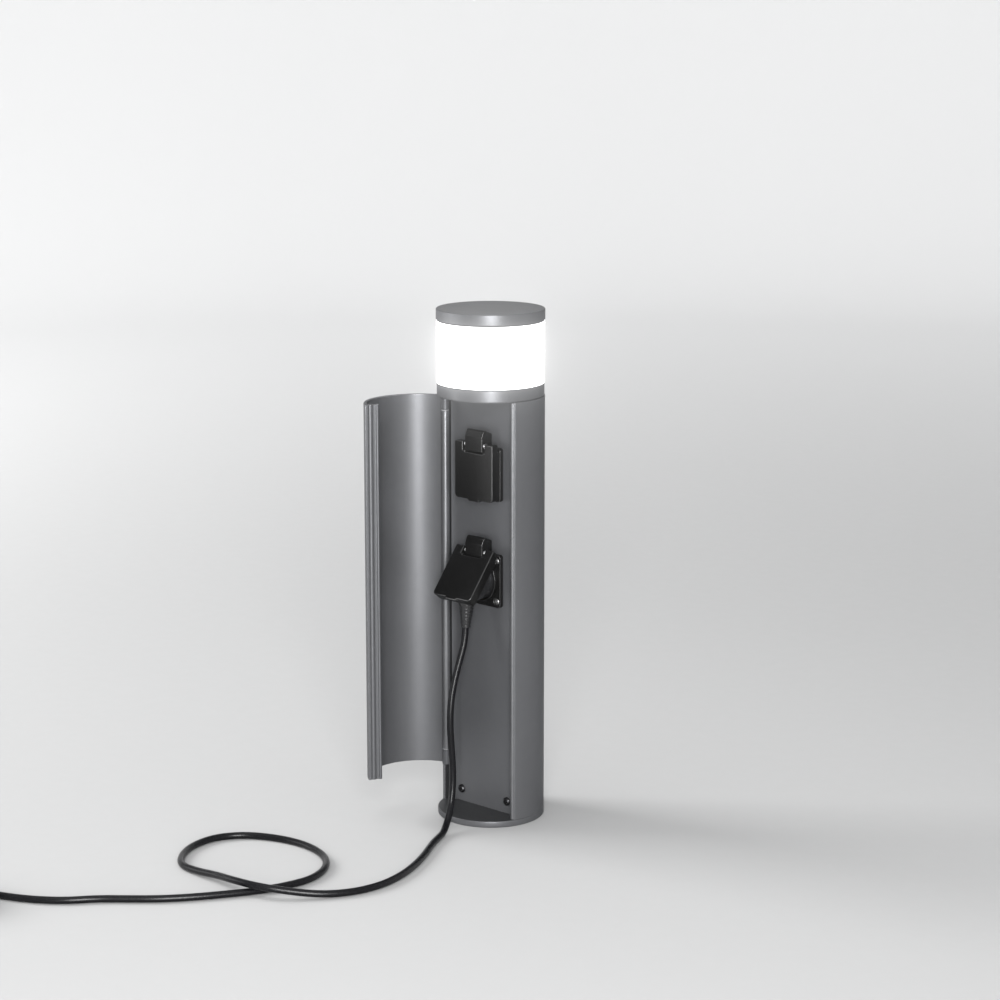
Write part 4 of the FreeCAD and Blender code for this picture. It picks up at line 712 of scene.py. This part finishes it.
stage = make_stage()
print("stage out to", round(stage.dimensions[0] / 2, 1), "m")

# %% Studio paint, with painted shade near the object and painted light on the wall
NEAR_SHADE_TONE, FAR_LIT_TONE = (0.44, 0.44, 0.44), (0.81, 0.81, 0.81)
NEAR_REACH, FAR_REACH = 0.7, 4.2

STAGE_PAINT = finish("studio floor", NEAR_SHADE_TONE, 0.80, grain=(60.0, 0.05, 0.1), drift=0.01, gloss=0.1)
stage_tree = STAGE_PAINT.node_tree
reach = stage_tree.nodes.new("ShaderNodeVectorMath")
reach.operation = "LENGTH"
stage_tree.links.new(object_place(stage_tree), reach.inputs[0])
# Painted shade near the object fades into painted light on the far wall.
painted_light_share = ramp(stage_tree, reach.outputs["Value"], NEAR_REACH, FAR_REACH, "SMOOTHSTEP")
painted_stage_tone = mixed(stage_tree, painted_light_share, NEAR_SHADE_TONE, FAR_LIT_TONE)
stage_tree.links.new(painted_stage_tone, shader_of(STAGE_PAINT).inputs["Base Color"])
outside = stage_tree.nodes.new("ShaderNodeNewGeometry")
see_through = stage_tree.nodes.new("ShaderNodeBsdfTransparent")
one_sided = stage_tree.nodes.new("ShaderNodeMixShader")
for index, source in enumerate((outside.outputs["Backfacing"], shader_of(STAGE_PAINT).outputs["BSDF"],
                                see_through.outputs["BSDF"])):
    stage_tree.links.new(source, one_sided.inputs[index])
stage_tree.links.new(one_sided.outputs["Shader"], stage_tree.nodes["Material Output"].inputs["Surface"])
wear(stage, STAGE_PAINT)
print("paint lightens from", NEAR_REACH, "to", FAR_REACH, "m")

# %% [markdown]
# The light is soft and comes from large panels. An upright one behind the camera gives the door, the collar
# and the cap their broad highlights. One low on the left draws the lines on the edges that face forward. The
# wall panel brightens the backdrop on the left, and is hidden from reflections, because the black lids would
# mirror it. One overhead lifts the floor, and the air fills the shadows.

# %% Soft panels, placed from the camera's side
turn = np.radians(CAMERA_TURN)
TO_RIGHT = np.array((np.cos(turn), np.sin(turn), 0.0))
TO_CAMERA = np.array((np.sin(turn), -np.cos(turn), 0.0))


def soft_panel(name, right, near, height, width, tall, watts, aim):
    """Area light. right and near are metres towards the camera's right and towards the camera."""
    data = bpy.data.lights.new(name, "AREA")
    data.shape = "RECTANGLE"
    data.size, data.size_y, data.energy = width, tall, watts
    light = added(name, data)
    light.location = TO_RIGHT * right + TO_CAMERA * near + (0, 0, height)
    light.rotation_euler = (Vector(aim) - light.location).to_track_quat("-Z", "Y").to_euler()
    light.visible_camera = False
    return light


soft_panel("camera strip", right=0.05, near=2.3, height=0.75, width=0.70, tall=1.5, watts=75,
           aim=(0, 0, 0.3))
wall_panel = soft_panel("wall panel", right=-2.9, near=-1.0, height=1.7, width=1.6, tall=1.6, watts=130,
                        aim=(-0.6, 0.7, 0))
wall_panel.visible_glossy = False
soft_panel("low left panel", right=-1.9, near=0.10, height=0.50, width=1.1, tall=1.0, watts=7,
           aim=(0, 0, 0.30))
soft_panel("overhead panel", right=-0.6, near=0.6, height=3.2, width=2.0, tall=2.0, watts=14,
           aim=(-0.3, 0.2, 0))
print("four panels")

# %% The air
AIR_TONE, AIR_STRENGTH = (0.98, 0.99, 1.0, 1), 0.59

world = bpy.data.worlds.new("studio air")
bpy.context.scene.world = world
world.use_nodes = True
world.node_tree.nodes["Background"].inputs["Color"].default_value = AIR_TONE
world.node_tree.nodes["Background"].inputs["Strength"].default_value = AIR_STRENGTH
bpy.context.scene.view_settings.view_transform = "Standard"
print("air at", AIR_STRENGTH)

# %% [markdown]
# A lens spreads a little of a very bright lamp over its surroundings. A Bloom in the compositor takes only
# what is brighter than white paper, which here is the diffuser, and adds a soft halo round it.

# %% Halo round the lamp
HALO = {"Threshold": 1.3, "Strength": 0.30, "Size": 0.32}

bpy.context.scene.use_nodes = True
post = bpy.context.scene.node_tree
post.nodes.clear()
layers = post.nodes.new("CompositorNodeRLayers")
halo = post.nodes.new("CompositorNodeGlare")
halo.glare_type = "BLOOM"
for label, value in HALO.items():
    halo.inputs[label].default_value = value
shown = post.nodes.new("CompositorNodeComposite")
post.links.new(layers.outputs["Image"], halo.inputs["Image"])
post.links.new(halo.outputs["Image"], shown.inputs["Image"])
print("halo:", HALO)

# %% [markdown]
# Last the lead is hidden and shown once. After its material is set, a curve reports a box as if it were a
# metre thick, until it is hidden and shown once.

# %% The lead hidden and shown once
for hidden in (True, False):
    lead.hide_render = hidden
    bpy.context.view_layer.update()
